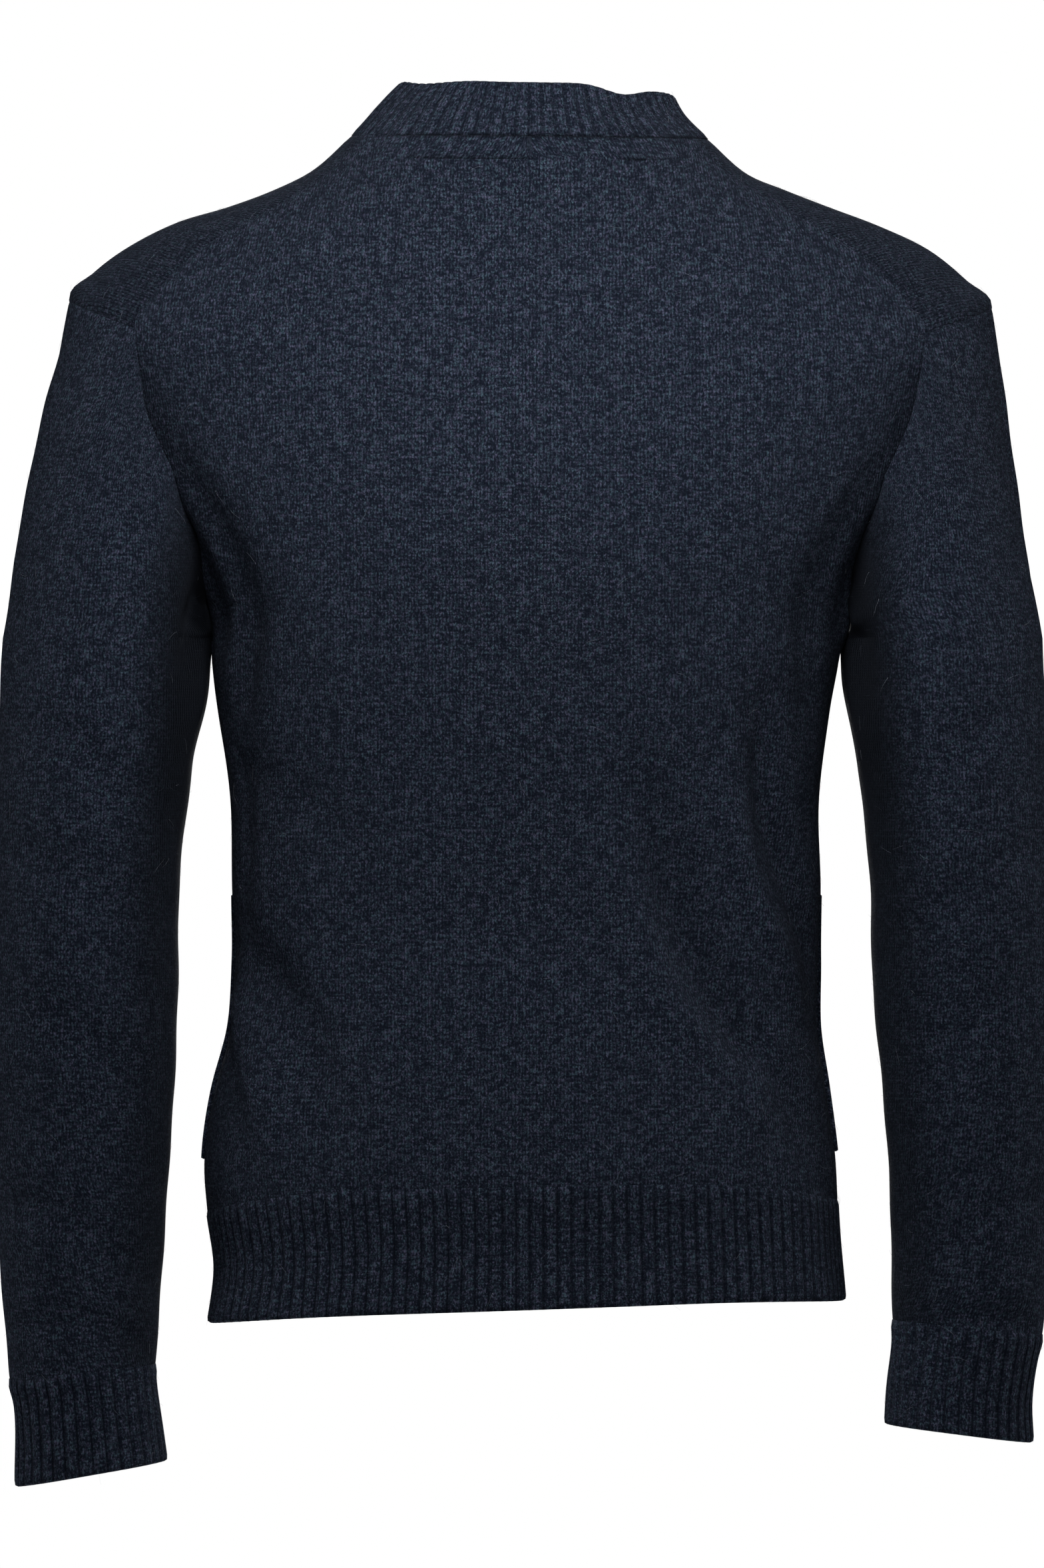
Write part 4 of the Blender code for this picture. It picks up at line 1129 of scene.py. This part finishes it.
def make_neck_strip():
    grid, knit, _ = map(np.array, zip(*(across_back(place, strip_columns) for place in NECK - STRIP_DROPS)))
    knit[..., 0] += knit[..., 1] * STRIP_LEAN * np.sign(knit[..., 0])
    note_cut(grid)
    across = np.linspace(0, 1, grid.shape[1])
    loose = sum(
        ease(across, start, start + LOOSE_ENDS) * ease(-across, -stop, LOOSE_ENDS - stop)
        for start, stop in STRIP_LOOSE
    )
    climb = share(STRIP_DROPS[0] - STRIP_DROPS, 0, STRIP_HEM)[:, None]
    lift = STRIP_LIFT * (climb + (1 - climb) * (LOOSE_LIFT * loose - TIGHT_SINK)[None])
    grid = grid + normals_of(grid, False) * lift[..., None]
    # Painted shade: a dark line at the top by the neck seam, and darker loose lower rows
    dark = np.interp(STRIP_DROPS, SEAM_DROPS, SEAM_PAINTED_SHADE)[:, None]
    shade = 1 - dark - (1 - climb) ** 4 * LOOSE_SHADE * loose[None]
    return shell("neck_strip_knit", grid, knit, wool, seams=False, thick=STRIP_CLOTH, shade=shade)


pockets = {side: make_pocket(side) for side in SIDES}
neck_strip = make_neck_strip()

# %% [markdown]
# ## Buttons
#
# A turned button is a profile spun round its axis, with a thick rim and a dished middle. One mesh serves
# all seven. Four holes are cut by a Boolean, two doubled strands of thread cross between them, and a wound
# shank of thread holds the button off the band.

# %% One button
BUTTON_COUNT = 7
BUTTON_RADIUS, BUTTON_HEIGHT = 0.0090, 0.0034
BUTTON_DISH, BUTTON_RIM, BUTTON_ROUND = 0.0010, 0.0026, 0.0009
DISH_SLOPE = 0.0012
BUTTON_LIFT = 0.0009
BAND_SURFACE = 0.0006
HOLE_RADIUS, HOLE_OFFSET = 0.0009, 0.0018
TOP_BUTTON_Z, LOW_BUTTON_Z = -0.062, -0.598
BUTTON_SIDES, HOLE_SIDES = 56, 16
BUTTON_BACK = 0.0008
SHANK_RADIUS, SHANK_SINK, SHANK_SIDES = 0.0016, 0.0012, 12
STRAND_RADIUS, STRAND_SHIFT, STRAND_SIDES = 0.00024, 0.00022, 8
STRAND_LIFT, STRAND_CROSS = 0.0004, 0.0003
STRAND_DIVE, STRAND_FLAT, STRAND_END, STRAND_STEPS = 0.0022, 0.82, 0.18, 13


def tube_faces(rings, sides):
    """Quads between rings of points, and a cap at each end."""
    faces = []
    for low in range(0, (rings - 1) * sides, sides):
        for k in range(sides):
            beside = (k + 1) % sides
            faces.append((low + k, low + beside, low + sides + beside, low + sides + k))
    return faces + [tuple(reversed(range(sides))), tuple(range((rings - 1) * sides, rings * sides))]


def button_profile():
    """Radius and height down the outside, with quarter rounds at the edges and a soft dish."""
    turn = np.radians(np.linspace(-90, 0, 5))
    inner = BUTTON_RADIUS - BUTTON_ROUND
    foot = [(inner + BUTTON_ROUND * math.cos(t), BUTTON_ROUND * (1 + math.sin(t))) for t in turn]
    rim = [(r, BUTTON_HEIGHT - h) for r, h in reversed(foot)]
    flat = BUTTON_RADIUS - BUTTON_RIM
    dish = [
        (flat - DISH_SLOPE * t, BUTTON_HEIGHT - BUTTON_DISH * ease(t, 0, 1)) for t in np.linspace(0, 1, 6)
    ]
    return foot + rim + dish


def lathe(name, profile, sides):
    turns = np.linspace(0, 2 * np.pi, sides, endpoint=False)
    points = [(r * math.cos(t), r * math.sin(t), h) for r, h in profile for t in turns]
    mesh = bpy.data.meshes.new(name)
    mesh.from_pydata(points, [], tube_faces(len(profile), sides))
    return placed(name, mesh)


def button_mesh():
    blank = lathe("blank", button_profile(), BUTTON_SIDES)
    cutters = []
    for x in (-HOLE_OFFSET, HOLE_OFFSET):
        for y in (-HOLE_OFFSET, HOLE_OFFSET):
            profile = [(HOLE_RADIUS, -BUTTON_HEIGHT), (HOLE_RADIUS, 2 * BUTTON_HEIGHT)]
            cutter = lathe("drill", profile, HOLE_SIDES)
            cutter.location = (x, y, 0)
            cut = blank.modifiers.new("hole", "BOOLEAN")
            cut.operation = "DIFFERENCE"
            cut.object = cutter
            cutters.append(cutter)
    shown = blank.evaluated_get(bpy.context.evaluated_depsgraph_get())
    mesh = bpy.data.meshes.new_from_object(shown)
    for spare in cutters + [blank]:
        bpy.data.objects.remove(spare)
    mesh.name = "button"
    mesh.shade_smooth()
    mesh.set_sharp_from_angle(angle=math.radians(40))
    mesh.materials.clear()
    mesh.materials.append(horn)
    return mesh


def tube(path, radius, sides):
    """Points and faces of a thread along a path."""
    path = np.array(path, float)
    way = unit(np.gradient(path, axis=0))
    side = unit(np.cross(way, np.array([0.3, 0.9, 0.2])))
    other = np.cross(way, side)
    turns = np.linspace(0, 2 * np.pi, sides, endpoint=False)
    points = [
        tuple(p + radius * (math.cos(t) * s + math.sin(t) * o))
        for p, s, o in zip(path, side, other)
        for t in turns
    ]
    return points, tube_faces(len(path), sides)


def thread_mesh():
    """Two strands side by side on each diagonal of the holes, and the wound shank under the button."""
    shank = [(0.0, 0.0, z) for z in (-BUTTON_LIFT - SHANK_SINK, 0.0, BUTTON_BACK)]
    points, faces = tube(shank, SHANK_RADIUS, SHANK_SIDES)
    dish = BUTTON_HEIGHT - BUTTON_DISH
    reach = HOLE_OFFSET * math.sqrt(2)
    for turn, above in ((45, STRAND_CROSS), (135, 0.0)):
        way = Vector((math.cos(math.radians(turn)), math.sin(math.radians(turn)), 0))
        beside = Vector((-way.y, way.x, 0))
        for shift in (-STRAND_SHIFT, STRAND_SHIFT):
            path = []
            for s in np.linspace(-1, 1, STRAND_STEPS):
                drop = STRAND_DIVE * max(0.0, abs(s) - STRAND_FLAT) / STRAND_END
                lift = STRAND_LIFT + above - drop
                path.append(tuple(way * reach * float(s) + beside * shift + Vector((0, 0, dish + lift))))
            strand, quads = tube(path, STRAND_RADIUS, STRAND_SIDES)
            faces += [tuple(v + len(points) for v in quad) for quad in quads]
            points += strand
    mesh = bpy.data.meshes.new("button_thread")
    mesh.from_pydata(points, [], faces)
    mesh.shade_smooth()
    mesh.materials.append(thread)
    return mesh


# %% Sew the buttons on
def sew_buttons():
    middle, _, normal = band_grid(UPPER_BAND_OUT, 2)
    line = middle[:, 1]
    made = []
    shapes = {"horn": button_mesh(), "thread": thread_mesh()}
    for number in range(BUTTON_COUNT):
        z = TOP_BUTTON_Z + (LOW_BUTTON_Z - TOP_BUTTON_Z) * number / (BUTTON_COUNT - 1)
        place, way = (
            Vector([float(np.interp(z, line[:, 2], values[:, k])) for k in range(3)])
            for values in (line, normal)
        )
        way = way.normalized()
        turn = way.to_track_quat("Z", "Y").to_matrix().to_4x4()
        pair = [placed(f"button_{number + 1}_{kind}", mesh) for kind, mesh in shapes.items()]
        for piece in pair:
            piece.matrix_world = Matrix.Translation(place + way * (BAND_SURFACE + BUTTON_LIFT)) @ turn
        made.append(pair)
    return made


buttons = sew_buttons()
print("buttons:", len(buttons))

# %% [markdown]
# ## Fuzz
#
# Brushed wool sheds hairs. A few thousand very fine curved fibres lie on the surface and stand off it a
# little, most of them dark and some pale. They soften the outline, and the pale ones catch the light.

# %% Loose fibres
FIBRES = {"dark": 4200, "pale": 700}
FIBRE_STEPS = 4
FIBRE_RADIUS = 0.00004
FIBRE_START = 0.00005
FIBRE_CURL, FIBRE_BOW, FIBRE_TURN = 1.2, 0.45, 1.6
THIRD_TURNS = (0.0, 2.0944, 4.1888)


def surface_samples(count, random):
    """Random points and normals on the outer faces, evenly by area."""
    corners = np.concatenate([points for points, _ in outer_faces])
    normals = np.concatenate([normals for _, normals in outer_faces])
    size = np.linalg.norm(np.cross(corners[:, 1] - corners[:, 0], corners[:, 3] - corners[:, 0]), axis=1)
    chosen = random.choice(len(size), count, p=size / size.sum())
    u, v = random.random((2, count, 1))
    quad = corners[chosen]
    low = quad[:, 0] * (1 - u) + quad[:, 1] * u
    high = quad[:, 3] * (1 - u) + quad[:, 2] * u
    return low * (1 - v) + high * v, normals[chosen][:, 0]


def fibres(name, count, lengths, stand, colour, seed):
    random = np.random.default_rng(seed)
    root, normal = surface_samples(count, random)
    way = unit(np.cross(normal, random.normal(size=(count, 3))))
    beside = np.cross(normal, way)
    length = random.uniform(*lengths, (count, 1))
    curl = random.uniform(-FIBRE_CURL, FIBRE_CURL, (count, 1))
    height = random.uniform(*stand, (count, 1))
    rings = []
    for step in range(FIBRE_STEPS + 1):
        t = step / FIBRE_STEPS
        bow = np.sin(curl * t * FIBRE_TURN)
        centre = root + way * length * t + beside * length * FIBRE_BOW * bow * t
        centre = centre + normal * (height * (1 - (1 - t) ** 2) + FIBRE_START)
        thin = FIBRE_RADIUS * (1.0 - 0.5 * t)
        rings += [centre + (math.cos(a) * beside + math.sin(a) * normal) * thin for a in THIRD_TURNS]
    points = np.stack(rings, axis=1).reshape(-1, 3)
    *sides, foot, tip = tube_faces(FIBRE_STEPS + 1, 3)
    first = len(rings) * np.arange(count)[:, None, None]
    quads, caps = (np.array(part)[None] + first for part in (sides, (foot, tip)))
    mesh = bpy.data.meshes.new(name)
    mesh.from_pydata(points.tolist(), [], quads.reshape(-1, 4).tolist() + caps.reshape(-1, 3).tolist())
    mesh.shade_smooth()
    deep = tuple(0.5 * c for c in colour[:3]) + (1,)
    mesh.materials.append(spun_finish(name, deep, colour, 400.0))
    return placed(name, mesh)


fuzz = [
    fibres("dark_fibres", FIBRES["dark"], (0.003, 0.007), (0.0003, 0.0013), (0.030, 0.037, 0.058, 1), 3),
    fibres("pale_fibres", FIBRES["pale"], (0.003, 0.011), (0.0002, 0.0009), (0.22, 0.24, 0.29, 1), 4),
]
print("fibres:", FIBRES)

# %% [markdown]
# ## Joining the frame
#
# Each piece rides on the part's only body, and the solid it stands for is hidden.

cloth_pieces = [back, *fronts.values(), *sleeves.values(), *cuffs.values(), hem_back, hem_left, hem_right]
cloth_pieces += [neckband, button_band, buttonhole_band, *pockets.values(), neck_strip]

for piece in cloth_pieces:
    node, kind = piece.name.rsplit("_", 1)
    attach(piece, "root")
    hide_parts(node)

for number, (disc, strands) in enumerate(buttons, start=1):
    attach(disc, "root")
    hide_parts(f"button_{number}")
    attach(strands, "root")

for piece in fuzz:
    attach(piece, "root")

print("declared:", len(cloth_pieces), "cloth pieces and", len(buttons), "buttons")

# %% [markdown]
# ## Floor, light and camera
#
# The picture was taken level, from behind, on a white ground. Its light comes from above the camera: the
# upper back is brightest and the hem and sleeves fall off into shade, which a small soft light close to
# the back does here. Three more lights, in front and at the sides, only serve the other views. The camera
# stands far away with a long lens, so that the sides of the garment don't shrink, and the picture's frame
# cuts off both elbows. The floor and the world look evenly pale to the camera and are dim as sources of
# light, as a white studio is whose ground is lit on its own.

# %% Floor
FLOOR_DROP = 0.26
FLOOR_SIZE = 4
FLOOR_EVEN = 0.75

bpy.ops.mesh.primitive_plane_add(size=FLOOR_SIZE, location=(0, 0, cad_box[0][2] - FLOOR_DROP))
floor = bpy.context.object
floor.name = "floor"
floor_finish, floor_surface, wire = new_material("pale_floor")
floor_surface.inputs["Base Color"].default_value = (0.72, 0.72, 0.72, 1)
floor_surface.inputs["Roughness"].default_value = 0.9
matt = Wire(wire.tree, floor_surface.outputs["BSDF"])
even = wire.node("ShaderNodeEmission", {}, {"Color": (0.86, 0.86, 0.86, 1), "Strength": 1.0})
seen = wire.node("ShaderNodeLightPath") * FLOOR_EVEN
mixed = wire.node("ShaderNodeMixShader", {}, {0: seen, 1: matt, 2: even})
mixed.feed(wire.tree.nodes["Material Output"], "Surface")
floor.data.materials.append(floor_finish)
print("floor at", round(floor.location.z, 3))

# %% Camera at the picture's place
PICTURE_WIDTH, PICTURE_HEIGHT = 1568, 2355
METRES_PER_PIXEL = 0.00036
MIDDLE_COLUMN, SHOULDER_ROW = 795, 245
CAMERA_DISTANCE = 12.0

picture = bpy.data.cameras.new("picture")
picture.sensor_fit = "VERTICAL"
picture.sensor_height = 36.0
picture.lens = picture.sensor_height * CAMERA_DISTANCE / (PICTURE_HEIGHT * METRES_PER_PIXEL)
picture.clip_end = 100
camera = placed("picture", picture)
camera.location = (
    (MIDDLE_COLUMN - PICTURE_WIDTH / 2) * METRES_PER_PIXEL,
    CAMERA_DISTANCE,
    (SHOULDER_ROW - PICTURE_HEIGHT / 2) * METRES_PER_PIXEL,
)
camera.rotation_euler = (math.radians(90), 0, math.radians(180))
bpy.context.scene.camera = camera
print("lens", round(picture.lens, 1), "mm at", camera.location[:])


# %% Soft light
def softbox(name, place, target, size, power):
    light = bpy.data.lights.new(name, "AREA")
    light.shape = "RECTANGLE"
    light.size, light.size_y = size
    light.energy = power
    lamp = placed(name, light)
    lamp.location = place
    lamp.rotation_euler = (Vector(target) - Vector(place)).to_track_quat("-Z", "Y").to_euler()
    print(name, power, "W at", place)


softbox("key_light", (0.0, 0.75, 0.27), (0, 0.05, -0.17), (0.45, 0.25), 13.4)
softbox("front_light", (0.0, -1.4, 0.1), (0, -0.05, -0.3), (0.6, 0.5), 28)
for sign, side in ((1, "left"), (-1, "right")):
    softbox(f"{side}_light", (1.35 * sign, -0.3, 0.0), (0.25 * sign, 0, -0.3), (0.5, 0.8), 8)

# %% The pale surroundings
WORLD_DIM, WORLD_SEEN = 0.028, 1.0

world = bpy.data.worlds.new("studio")
world.use_nodes = True
studio = world.node_tree
ray = studio.nodes.new("ShaderNodeLightPath")
level = studio.nodes.new("ShaderNodeMix")
level.inputs["A"].default_value, level.inputs["B"].default_value = WORLD_DIM, WORLD_SEEN
studio.links.new(ray.outputs["Is Camera Ray"], level.inputs["Factor"])
studio.links.new(level.outputs["Result"], studio.nodes["Background"].inputs["Strength"])
studio.nodes["Background"].inputs["Color"].default_value = (1, 1, 1, 1)
bpy.context.scene.world = world
bpy.context.scene.view_settings.view_transform = "Standard"

# %% Finish
bpy.context.view_layer.update()
